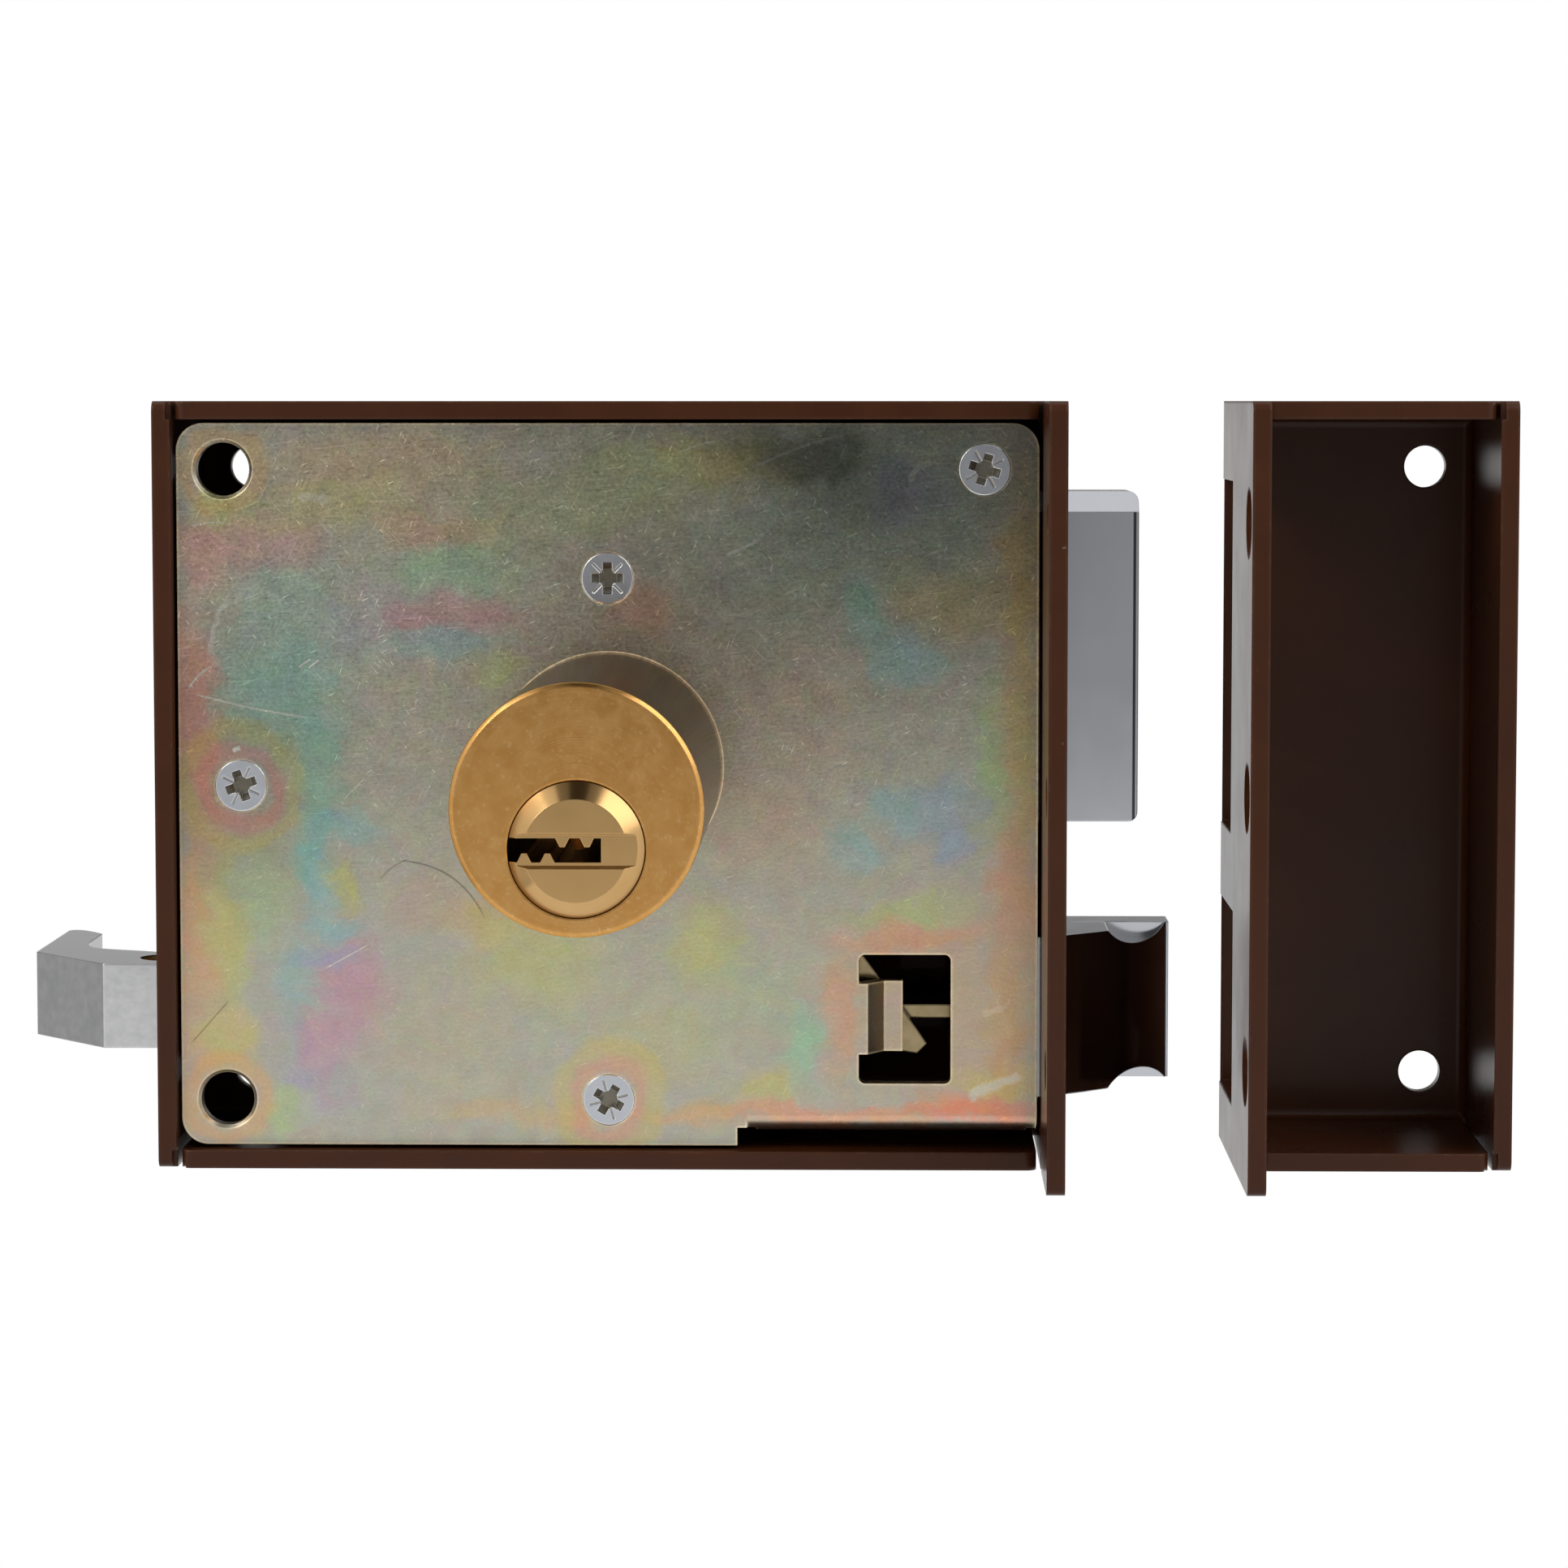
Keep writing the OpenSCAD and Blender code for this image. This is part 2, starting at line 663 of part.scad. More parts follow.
// Folded box with open corner seams; its flange side (+1 right, -1 left) reaches past the rim
module folded_box(x0, x1, flange_side) {
    flange_x0 = flange_side > 0 ? x1 - sheet_t : x0;
    plain_x0 = flange_side > 0 ? x0 : x1 - sheet_t;
    seam_y1 = case_d - sheet_t - fold_r;
    difference() {
        union() {
            folded_solid(x0, x1, case_z0, case_z1, 0, 0);
            box3([flange_x0, -forend_reach, case_z0], [flange_x0 + sheet_t, over, case_z1]);
        }
        folded_solid(x0, x1, case_z0, case_z1, sheet_t, -over);
        for (x = [x0 + sheet_t, x1 - sheet_t - seam_w], z = [case_z0 - over, case_z1 - sheet_t])
            box3([x, -over, z], [x + seam_w, seam_y1, z + sheet_t + over]);
        along_x(flange_x0 - over, flange_x0 + sheet_t + over) {
            corner_bit([-forend_reach, case_z0], [1, 1], rim_r);
            corner_bit([-forend_reach, case_z1], [1, -1], rim_r);
        }
        along_x(plain_x0 - over, plain_x0 + sheet_t + over) {
            corner_bit([0, case_z0], [1, 1], rim_r);
            corner_bit([0, case_z1], [1, -1], rim_r);
        }
        for (z = [case_z0 - over, case_z1 - sheet_t]) along_z(z, z + sheet_t + over) {
            corner_bit([x0 + sheet_t + seam_w, 0], [1, 1], rim_r);
            corner_bit([x1 - sheet_t - seam_w, 0], [-1, 1], rim_r);
        }
    }
}

// Countersunk holes through a flange whose outer face is at x, facing the sign of side
module flange_holes(x, side) {
    sink = (flange_sink_d - flange_d) / 2;
    for (z = flange_z) translate([x, flange_y, z]) rotate([0, -90 * side, 0]) {
        translate([0, 0, -over]) cylinder(h = sheet_t + 2 * over, d = flange_d);
        cylinder(h = sink, d1 = flange_sink_d, d2 = flange_d);
    }
}

module case() {
    color(BROWN) difference() {
        folded_box(case_x0, case_x1, 1);
        flange_holes(case_x1, 1);
        for (z = fix_z) rod_y(fix_x, z, back_in - over, case_d + over, fix_d);
        for (s = screw_spots) rivet_hole(s.x, s.y);
        rivet_hole(lever_x, lever_z);
        rivet_hole(bracket_x - bracket_l / 2, latch_z);
        rod_y(0, 0, back_in - over, case_d + over, cyl_d + 2 * turn_gap);
        for (s = [-1, 1])
            rod_y(s * inner_screw_r, 0, back_in - over, case_d + over, screw_d + 2 * seat_gap);
        box3(
            [in_x1 - fold_r - over, bolt_near - slide_gap, bolt_z0 - slide_gap],
            [case_x1 + over, bolt_y1 + slide_gap, bolt_z1 + slide_gap]
        );
        box3(
            [in_x1 - fold_r - over, latch_y0 - slide_gap, latch_z0 - slide_gap],
            [case_x1 + over, back_in, latch_z1 + slide_gap]
        );
        box3(
            [case_x0 - over, stem_near - slide_gap, pull_z0 - slide_gap],
            [in_x0 + over, stem_y1 + slide_gap, pull_z1 + slide_gap]
        );
    }
}

// A rivet hole through the case back
module rivet_hole(x, z) {
    rod_y(x, z, back_in - over, case_d + over, spigot_d + 2 * seat_gap);
}

module cover_plate() {
    hem_z0 = plate_z0 + hem_rise;
    hem_x1 = plate_x1 - hem_inset;
    hem_x0 = hem_x1 - hem_w;
    tongue_z = [latch_z - tongue_h / 2, latch_z + tongue_h / 2];
    color(ZINC) difference() {
        union() {
            along_y(plate_y0, plate_y1) difference() {
                round2([plate_x0, plate_z0], [plate_x1, plate_z1], plate_r);
                box2([hem_x0 - notch_w, plate_z0 - over], [plate_x1 + over, hem_z0]);
                box2([hem_x0 - notch_w, hem_z0 - over], [hem_x0, hem_z0 + notch_h]);
                box2([hem_x1, hem_z0 - over], [plate_x1 + over, hem_z0 + notch_h]);
                round2(
                    [window_x0, latch_z - window_h / 2],
                    [window_x1, latch_z + window_h / 2], window_r
                );
            }
            along_x(hem_x0, hem_x1) box2([plate_y0, hem_z0], [plate_y0 + hem_d, hem_z0 + plate_t]);
            along_z(tongue_z[0], tongue_z[1]) tongue_profile();
        }
        along_x(hem_x0 - over, hem_x1 + over)
            corner_bit([plate_y0, hem_z0], [1, 1], hem_r);
        rod_y(0, 0, plate_y0 - over, plate_y1 + over, neck_d + 2 * seat_gap);
        for (z = fix_z) {
            rod_y(fix_x, z, plate_y0 - over, plate_y1 + over, plate_fix_d);
            cone_y(fix_x, z, plate_y0, plate_y0 + fix_lip, plate_fix_d + 2 * fix_lip, plate_fix_d);
        }
        for (s = screw_spots) {
            rod_y(s.x, s.y, plate_y0 - over, plate_y1 + over, screw_d + 4 * seat_gap);
            cone_y(
                s.x, s.y, plate_y0, plate_y0 + sink_h,
                screw_head_d + 2 * seat_gap, screw_d + 2 * seat_gap
            );
        }
    }
}

// Side of the tongue: out of the window's left edge, stepped into the case
module tongue_profile() {
    root_x = window_x0 - window_r;
    bend_x = window_x0 + tongue_flat;
    low_x = bend_x + tongue_slope;
    end_x = window_x0 + tongue_l;
    deep = plate_y0 + tongue_step;
    under = tongue_t / 2;
    polygon([
        [root_x, plate_y0], [bend_x, plate_y0], [low_x, deep], [end_x, deep],
        [end_x, deep + tongue_t], [low_x - under, deep + tongue_t],
        [bend_x - under, plate_y1], [root_x, plate_y1],
    ]);
}

module cover_screws() {
    color(STEEL) for (s = screw_spots) difference() {
        union() {
            cone_y(s.x, s.y, plate_y0, plate_y0 + sink_h, screw_head_d, screw_d);
            rod_y(s.x, s.y, plate_y0 + sink_h / 2, plate_y0 + screw_l, screw_d);
        }
        cone_y(s.x, s.y, plate_y0, plate_y0 + drive_deep, drive_core_d, drive_tip_d);
        for (a = [0, 90])
            drive_slot_cut(s, s[2] + a, drive_w, drive_core_d, drive_slot, drive_deep);
        for (a = [45, 135])
            drive_slot_cut(s, s[2] + a, tick_l, tick_l, tick_w, tick_deep);
    }
}

// One slot of a cross recess in a screw head, turned by a, from width w0 at the face to w1 at its bottom
module drive_slot_cut(s, a, w0, w1, t, deep) {
    translate([s.x, plate_y0, s.y]) rotate([0, a, 0]) along_z(-t / 2, t / 2) polygon([
        [-w0 / 2, -over], [w0 / 2, -over], [w0 / 2, 0],
        [w1 / 2, deep], [-w1 / 2, deep], [-w0 / 2, 0],
    ]);
}

module plate_posts() {
    color(STEEL) for (s = screw_spots) difference() {
        union() {
            rod_y(s.x, s.y, plate_y1, back_in, post_d);
            rod_y(s.x, s.y, back_in - over, case_d, spigot_d);
        }
        rod_y(s.x, s.y, plate_y1 - over, plate_y0 + screw_l + tap_spare, screw_d + 2 * seat_gap);
    }
}

module cylinder_body() {
    color(BRASS) difference() {
        union() {
            cone_y(0, 0, face_y, face_y + cyl_chamfer, cyl_d - 2 * cyl_chamfer, cyl_d);
            rod_y(0, 0, face_y + cyl_chamfer, plate_y0, cyl_d);
            rod_y(0, 0, plate_y0 - over, neck_y1, neck_d);
        }
        rod_y(0, plug_z, face_y - over, plug_y1 + turn_gap, 2 * bore_r);
        rod_y(0, plug_z, plug_y1 - over, neck_y1 + over, journal_d + 2 * turn_gap);
        for (y = pin_y) rod_z(0, y, plug_z, chamber_top, chamber_d);
    }
}

module cylinder_nut() {
    color(STEEL) difference() {
        rod_y(0, 0, plate_y1, plate_y1 + nut_t, nut_d);
        rod_y(0, 0, plate_y1 - over, plate_y1 + nut_t + over, neck_d + 2 * seat_gap);
        for (i = [0:nut_slots - 1]) rotate([0, 360 * (i + 0.5) / nut_slots, 0])
            box3(
                [nut_d / 2 - nut_slot_deep, plate_y1 + nut_t - nut_slot_h, -nut_slot_w / 2],
                [nut_d, plate_y1 + nut_t + over, nut_slot_w / 2]
            );
    }
}

// Outline of the keyway in X and Z, with its wards
module keyway_profile() {
    z0 = plug_z - keyway_h / 2;
    z1 = plug_z + keyway_h / 2;
    difference() {
        box2([-plug_d, z0], [keyway_end, z1]);
        for (n = high_wards) translate([keyway_end - n * ward_w, z1]) ward_profile(-1);
        for (n = low_wards) translate([keyway_end - n * ward_w, z0]) ward_profile(1);
    }
}

// One ward, standing on its root and pointing up (+1) or down (-1)
module ward_profile(way) {
    polygon([
        [-ward_w / 2, 0], [ward_w / 2, 0],
        [ward_tip / 2, way * ward_h], [-ward_tip / 2, way * ward_h],
    ]);
}

// Face of a plug seen along Y: bevel, groove and keyway, from the face at y0 to y1
module plug_blank(y0, y1) {
    rim = groove_h / 2 + groove_flare;
    difference() {
        union() {
            cone_y(0, plug_z, y0, y0 + plug_bevel, plug_face_d, plug_d);
            rod_y(0, plug_z, y0 + plug_bevel, y1, plug_d);
        }
        along_x(-plug_d, plug_d) polygon([
            [y0 - over, plug_z - rim], [y0, plug_z - rim], [y0 + groove_deep, plug_z - groove_h / 2],
            [y0 + groove_deep, plug_z + groove_h / 2], [y0, plug_z + rim], [y0 - over, plug_z + rim],
        ]);
    }
}

module key_plug() {
    color(BRASS) difference() {
        union() {
            plug_blank(plug_y0, plug_y1);
            rod_y(0, plug_z, plug_y1 - over, journal_y1, journal_d);
        }
        along_y(plug_y0 - over, plug_y1 - keyway_stop) keyway_profile();
        for (y = pin_y) rod_z(0, y, plug_z, plug_z + plug_d, chamber_d);
        clip_groove(clip_y0);
        box3(
            [-blade_w / 2 - seat_gap, plate_y1, plug_z - blade_t / 2 - seat_gap],
            [blade_w / 2 + seat_gap, journal_y1 + over, plug_z + blade_t / 2 + seat_gap]
        );
    }
}

// Groove for a retaining clip in a plug journal
module clip_groove(y0) {
    difference() {
        rod_y(0, plug_z, y0 - seat_gap, y0 + clip_t + seat_gap, journal_d + over);
        rod_y(0, plug_z, y0 - over, y0 + clip_t + over, journal_d - 2 * clip_bite);
    }
}

// Open retaining clip of outside diameter d
module clip(y0, d) {
    difference() {
        rod_y(0, plug_z, y0, y0 + clip_t, d);
        rod_y(0, plug_z, y0 - over, y0 + clip_t + over, journal_d - 2 * clip_bite + 2 * seat_gap);
        box3([-clip_gap / 2, y0 - over, plug_z - d], [clip_gap / 2, y0 + clip_t + over, plug_z]);
    }
}

module key_pins() {
    z0 = plug_z + keyway_h / 2 - pin_tip;
    z1 = plug_z + plug_d / 2 - pin_short;
    color(BRASS) for (y = pin_y) translate([0, y, 0]) {
        translate([0, 0, z0]) cylinder(h = pin_tip, d1 = pin_d / 3, d2 = pin_d);
        rod_z(0, 0, z0 + pin_tip, z1, pin_d);
    }
}

module driver_pins() {
    color(BRASS) for (y = pin_y) rod_z(0, y, driver_z0, driver_z0 + driver_l, pin_d);
}

module pin_springs() {
    z0 = driver_z0 + driver_l + seat_gap;
    h = chamber_top - seat_gap - z0;
    color(STEEL) for (y = pin_y) translate([0, y, z0])
        coil(pin_d - 2 * turn_gap, pin_wire, h, pin_turns, sides = 5);
}

module plug_clip() {
    color(STEEL) clip(clip_y0, clip_d);
}

module drive_blade() {
    color(STEEL) box3(
        [-blade_w / 2, plate_y1 + seat_gap, plug_z - blade_t / 2],
        [blade_w / 2, tail_y1, plug_z + blade_t / 2]
    );
}

module bolt_cam() {
    color(STEEL) difference() {
        union() {
            rod_y(0, plug_z, tail_y0, tail_y1, cam_hub_d);
            along_y(tail_y0, tail_y1) intersection() {
                box2([-cam_tooth_w / 2, plug_z - cam_r], [cam_tooth_w / 2, plug_z]);
                translate([0, plug_z]) circle(cam_r);
            }
        }
        box3(
            [-blade_w / 2 - seat_gap, tail_y0 - over, plug_z - blade_t / 2 - seat_gap],
            [blade_w / 2 + seat_gap, tail_y1 + over, plug_z + blade_t / 2 + seat_gap]
        );
    }
}

// Mirror so that the cylinder's face becomes the room face of the inner cylinder
module facing_room() {
    translate([0, inner_y1, 0]) mirror([0, 1, 0]) translate([0, -face_y, 0]) children();
}

module inner_cylinder() {
    color(BRASS) difference() {
        union() {
            rod_y(0, 0, inner_y0, inner_y1 - cyl_chamfer, cyl_d);
            cone_y(0, 0, inner_y1 - cyl_chamfer, inner_y1, cyl_d, cyl_d - 2 * cyl_chamfer);
            rod_y(0, 0, back_in - inner_flange_t, back_in, inner_flange_d);
        }
        rod_y(0, plug_z, inner_y0 - over, inner_y1 + over, 2 * bore_r);
        for (s = [-1, 1]) rod_y(
            s * inner_screw_r, 0, back_in - inner_flange_t - over, back_in + over,
            screw_d + 2 * seat_gap
        );
    }
}

module inner_cylinder_screws() {
    y0 = back_in - inner_flange_t;
    color(STEEL) for (s = [-1, 1]) difference() {
        union() {
            rod_y(s * inner_screw_r, 0, y0 - inner_head_t, y0, inner_head_d);
            rod_y(s * inner_screw_r, 0, y0 - over, case_d, screw_d);
        }
        translate([s * inner_screw_r, y0 - inner_head_t, 0])
            box3([-inner_head_d, -over, -inner_slot / 2], [inner_head_d, inner_slot, inner_slot / 2]);
    }
}

module inner_plug() {
    color(BRASS) difference() {
        union() {
            facing_room() plug_blank(plug_y0, face_y + inner_y1 - inner_y0);
            rod_y(0, plug_z, stub_y0, inner_y0 + over, journal_d);
        }
        along_y(inner_y0 + keyway_stop, inner_y1 + plug_bevel + over) mirror([1, 0]) keyway_profile();
        clip_groove(inner_clip_y0);
    }
}

module inner_clip() {
    color(STEEL) clip(inner_clip_y0, inner_clip_d);
}

module deadbolt() {
    color(CHROME) difference() {
        box3([bolt_x0, bolt_near, bolt_z0], [bolt_x1, bolt_y1, bolt_z1]);
        along_x(bolt_x0 - over, bolt_x1 + over) polygon([
            [bolt_near - over, bolt_z1 - bolt_bevel - over],
            [bolt_near + bolt_bevel + over, bolt_z1 + over],
            [bolt_near - over, bolt_z1 + over],
        ]);
        along_y(bolt_near - over, bolt_y1 + over) {
            corner_bit([bolt_x1, bolt_z1], [-1, -1], bolt_r);
            corner_bit([bolt_x1, bolt_z0], [-1, 1], bolt_r);
        }
        box3(
            [bolt_x0 - over, tail_y0 - seat_gap, tail_tongue_z0 - seat_gap],
            [
                bolt_x0 + tail_grip + seat_gap, tail_y1 + seat_gap,
                tail_tongue_z0 + tail_tongue_h + seat_gap
            ]
        );
        for (z = rivet_z) rod_y(rivet_x, z, bolt_near - over, bolt_y1 + over, bolt_rivet_d + 2 * seat_gap);
    }
}

module bolt_tail() {
    slot_end = bolt_turn + slide_gap;
    color(STEEL) difference() {
        along_y(tail_y0, tail_y1) difference() {
            union() {
                box2([-tail_l, tail_z0], [bolt_x0 - seat_gap, tail_top]);
                box2(
                    [bolt_x0 - over, tail_tongue_z0],
                    [bolt_x0 + tail_grip, tail_tongue_z0 + tail_tongue_h]
                );
            }
            for (i = [-1:1]) box2(
                [i * bolt_turn - talon_w / 2, tail_z0 - over],
                [i * bolt_turn + talon_w / 2, tail_z0 + talon_h]
            );
            box2(
                [-slot_end, top_screw_rise - post_slot_h / 2],
                [slot_end, top_screw_rise + post_slot_h / 2]
            );
            for (s = [-1, 1]) translate([s * slot_end, top_screw_rise]) circle(d = post_slot_h);
            corner_bit([-tail_l, tail_z0], [1, 1], tail_r);
            corner_bit([-tail_l, tail_top], [1, -1], tail_r);
        }
        for (z = rivet_z) rod_y(rivet_x, z, tail_y0 - over, tail_y1 + over, bolt_rivet_d + 2 * seat_gap);
    }
}

module bolt_rivets() {
    color(STEEL) for (z = rivet_z) rod_y(rivet_x, z, bolt_near, bolt_y1, bolt_rivet_d);
}

module bolt_leaf_spring() {
    top = in_z1;
    low = tail_top + layer_gap;
    sag = top - low;
    r = (pow(leaf_span / 2, 2) + sag * sag) / (2 * sag);
    color(STEEL) along_y(tail_y0, tail_y1) intersection() {
        translate([0, low + r]) difference() {
            circle(r, $fn = 128);
            circle(r - leaf_t, $fn = 128);
        }
        box2([-leaf_span, low - over], [leaf_span, top]);
    }
}

// Outline of the latch nose in X and Y: a flat bevel, then a curved one out to the tip
module nose_profile() {
    step_y = bar_y0 - layer_gap;
    rear_x = case_x1 - nose_back;
    bevel = [case_x1 - nose_start, latch_y0];
    a = bevel + [nose_run, nose_run];
    b = [latch_x1 - nose_blunt, latch_split];
    half = norm(b - a) / 2;
    mid = (a + b) / 2;
    across = [a.y - b.y, b.x - a.x] / (2 * half);
    reach = latch_x1 - bevel.x;
    intersection() {
        polygon([
            [latch_x0, step_y], [rear_x, step_y], [rear_x, latch_y0], bevel,
            bevel + [reach, reach], [latch_x1, latch_split], [latch_x0, latch_split],
        ]);
        translate(mid + across * sqrt(nose_r * nose_r - half * half)) circle(nose_r, $fn = 256);
    }
}

module latch_nose() {
    bite_x = latch_x1 - scallop_back;
    bite = scallop_r - scallop_deep;
    color(CHROME) difference() {
        along_z(latch_z0, latch_z1) nose_profile();
        for (z = [latch_z1 + bite, latch_z0 - bite])
            rod_y(bite_x, z, latch_y0 - over, latch_split + over, 2 * scallop_r);
        box3(
            [latch_x0 - over, bar_y0 - seat_gap, bar_z0 - seat_gap],
            [bar_x1 + seat_gap, bar_y1 + seat_gap, bar_z1 + seat_gap]
        );
        rod_z(
            latch_x0 + bar_grip / 2, pull_pin_y, latch_z0 - over, latch_z1 + over,
            latch_rivet_d + 2 * seat_gap
        );
    }
}

module latch_plate() {
    color(CHROME) difference() {
        box3([latch_x0, latch_split, latch_z0], [latch_x1, latch_y1, latch_z1]);
        rod_x(guide_y, latch_z, latch_x0 - over, latch_x0 + guide_grip + seat_gap, guide_d + 2 * seat_gap);
    }
}

module latch_bar() {
    color(ZINC) difference() {
        union() {
            box3([bar_x0, bar_y0, bar_z0], [bar_x1, bar_y1, bar_z1]);
            box3([ear_x1 - ear_w, lever_y0, bar_z0], [ear_x1, bar_y0 + over, bar_z1]);
        }
        rod_z(
            latch_x0 + bar_grip / 2, pull_pin_y, bar_z0 - over, bar_z1 + over,
            latch_rivet_d + 2 * seat_gap
        );
        rod_z(pull_pin_x, pull_pin_y, bar_z0 - over, bar_z1 + over, pull_pin_d + 2 * seat_gap);
    }
}

module latch_rivet() {
    color(STEEL) rod_z(latch_x0 + bar_grip / 2, pull_pin_y, latch_z0, latch_z1, latch_rivet_d);
}

module spring_guide() {
    color(STEEL) rod_x(guide_y, latch_z, guide_x0, latch_x0 + guide_grip, guide_d);
}

module latch_spring() {
    x0 = bracket_x + bracket_t + seat_gap;
    h = latch_x0 - seat_gap - x0;
    color(STEEL) translate([x0, guide_y, latch_z]) rotate([0, 90, 0])
        coil(spring_d, spring_wire, h, spring_turns);
}

module spring_bracket() {
    z0 = latch_z - bracket_w / 2;
    z1 = latch_z + bracket_w / 2;
    color(STEEL) difference() {
        union() {
            box3([bracket_x, guide_y - bracket_w / 2, z0], [bracket_x + bracket_t, back_in, z1]);
            box3([bracket_x - bracket_l, back_in - bracket_t, z0], [bracket_x + over, back_in, z1]);
            rod_y(bracket_x - bracket_l / 2, latch_z, back_in - over, case_d, spigot_d);
        }
        rod_x(guide_y, latch_z, bracket_x - over, bracket_x + bracket_t + over, guide_d + 2 * slide_gap);
    }
}

// Outline of the latch lever in X and Z: boss, stud arm, and a hook round the bar's ear
module lever_profile() {
    arm_r = stud_arm_w / 2;
    pivot = [lever_x, lever_z];
    hook = [hook_x, latch_z];
    difference() {
        union() {
            translate(pivot) circle(lever_boss_r);
            polygon([
                pivot + lever_boss_r * [cos(arm_turn), -sin(arm_turn)],
                hook + [-shoulder_back, shoulder_up],
                hook + [hook_w - hook_cut, 2 * hook_cut - hook_down],
                hook + [hook_w, hook_cut / 2 - hook_down],
                hook + [hook_w - hook_cut, -hook_cut / 2 - hook_down],
                hook + [hook_lean, -hook_down],
                hook + [-hook_lean / 2, hook_up],
                hook + [-shoulder_back - arm_w, shoulder_up],
                pivot + lever_boss_r * [-sin(arm_turn), -cos(arm_turn)],
            ]);
            box2(pivot + [-stud_arm, -arm_r], pivot + [0, arm_r]);
            translate(pivot + [-stud_arm, 0]) circle(arm_r);
        }
        translate(pivot) circle(lever_pin_d / 2 + turn_gap);
    }
}

module latch_lever() {
    color(ZINC) {
        along_y(lever_y0, lever_y1) lever_profile();
        rod_y(lever_x - stud_arm, lever_z, lever_y1 - over, tail_y1, stud_d);
    }
}

module lever_pivot() {
    head_y0 = lever_y0 - turn_gap - lever_head_t;
    color(STEEL) {
        rod_y(lever_x, lever_z, lever_y1 + turn_gap, back_in, lever_post_d);
        rod_y(lever_x, lever_z, head_y0, lever_y1 + over, lever_pin_d);
        rod_y(lever_x, lever_z, head_y0, head_y0 + lever_head_t, lever_pin_d + 2 * lever_head);
        rod_y(lever_x, lever_z, back_in - over, case_d, spigot_d);
    }
}

// Points of a smooth bend from a to b, drawn towards the corner c
function bend(a, c, b, steps = 6) =
    [for (i = [0:steps]) let (t = i / steps) (1 - t) * (1 - t) * a + 2 * t * (1 - t) * c + t * t * b];

// Outline of the pull in X and Y: stem, bevelled corner and finger tab
module pull_profile() {
    tab_y1 = case_d + tab_reach;
    inner_x = pull_x0 + tab_t;
    corner = [inner_x, stem_y1 + stem_rise];
    slope = (corner - [case_x0, stem_y1]) / (case_x0 - inner_x);
    polygon(concat(
        [[stem_x1, stem_near], [case_x0 - stem_out, stem_near], [pull_x0, stem_near + pull_bevel]],
        bend(
            [pull_x0, tab_y1 - tab_slant / 4], [pull_x0 + tab_t / 4, tab_y1 + tab_slant / 4],
            [inner_x, tab_y1 - tab_slant]
        ),
        bend(corner + [0, web_tab], corner, corner - web_stem * slope),
        [[case_x0, stem_y1], [stem_x1, stem_y1]]
    ));
}

module pull_handle() {
    color(CHROME) difference() {
        along_z(pull_z0, pull_z1) pull_profile();
        box3(
            [bar_x0 - seat_gap, bar_y0 - seat_gap, bar_z0 - seat_gap],
            [stem_x1 + over, bar_y1 + seat_gap, bar_z1 + seat_gap]
        );
        rod_z(pull_pin_x, pull_pin_y, pull_z0 - over, pull_z1 + over, pull_pin_d + 2 * seat_gap);
        rod_z(
            pull_pin_x, pull_pin_y, pull_z1 - pull_pin_sunk - pull_pin_head_t, pull_z1 + over,
            pull_pin_head_d + 2 * seat_gap
        );
    }
}

module pull_pin() {
    head_z1 = pull_z1 - pull_pin_sunk;
    color(BRASS) {
        rod_z(pull_pin_x, pull_pin_y, pull_z0, head_z1, pull_pin_d);
        rod_z(pull_pin_x, pull_pin_y, head_z1 - pull_pin_head_t, head_z1, pull_pin_head_d);
    }
}

module keep_box() {
    color(BROWN) difference() {
        folded_box(keep_x0, keep_x1, -1);
        flange_holes(keep_x0, -1);
        for (z = fix_z) rod_y(keep_x1 - keep_fix_inset, z, back_in - over, case_d + over, fix_d);
        keep_slot(bolt_near - keep_play, bolt_z0 - keep_play, bolt_z1 + keep_play);
        keep_slot(
            bolt_near - keep_play - keep_latch_lead,
            latch_z0 + keep_latch_rise - keep_latch_play, latch_z1 + keep_latch_rise + keep_latch_play
        );
    }
}

// A slot in the keep's plate, from y0 back to the folded edge
module keep_slot(y0, z0, z1) {
    box3([keep_x0 - over, y0, z0], [keep_x0 + sheet_t + fold_r + over, back_in, z1]);
}

case();
cover_plate();
cover_screws();
plate_posts();
cylinder_body();
cylinder_nut();
driver_pins();
pin_springs();
key_plug();
key_pins();
plug_clip();
drive_blade();
bolt_cam();
inner_cylinder();
inner_cylinder_screws();
inner_plug();
inner_clip();
deadbolt();
bolt_tail();
bolt_rivets();
bolt_leaf_spring();
latch_nose();
latch_plate();
latch_bar();
latch_rivet();
spring_guide();
latch_spring();
spring_bracket();
latch_lever();
lever_pivot();
pull_handle();
pull_pin();
keep_box();
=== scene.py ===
# %% [markdown]
# # Dressing a rim box lock
# A rim lock is screwed to the inner face of a door. This lesson takes the lock's CAD pieces, which
# are already modelled, packed and jointed, and gives them the looks of the real thing: gloss brown
# enamel, a yellow-passivated plate with rainbow tints, turned brass and nickel-plated bolts. The
# CAD pieces are never moved or reshaped here, so what the picture shows still fits and still
# moves. One spring alone gets a stand-in.

# %% Load the imported lock
import json
import math

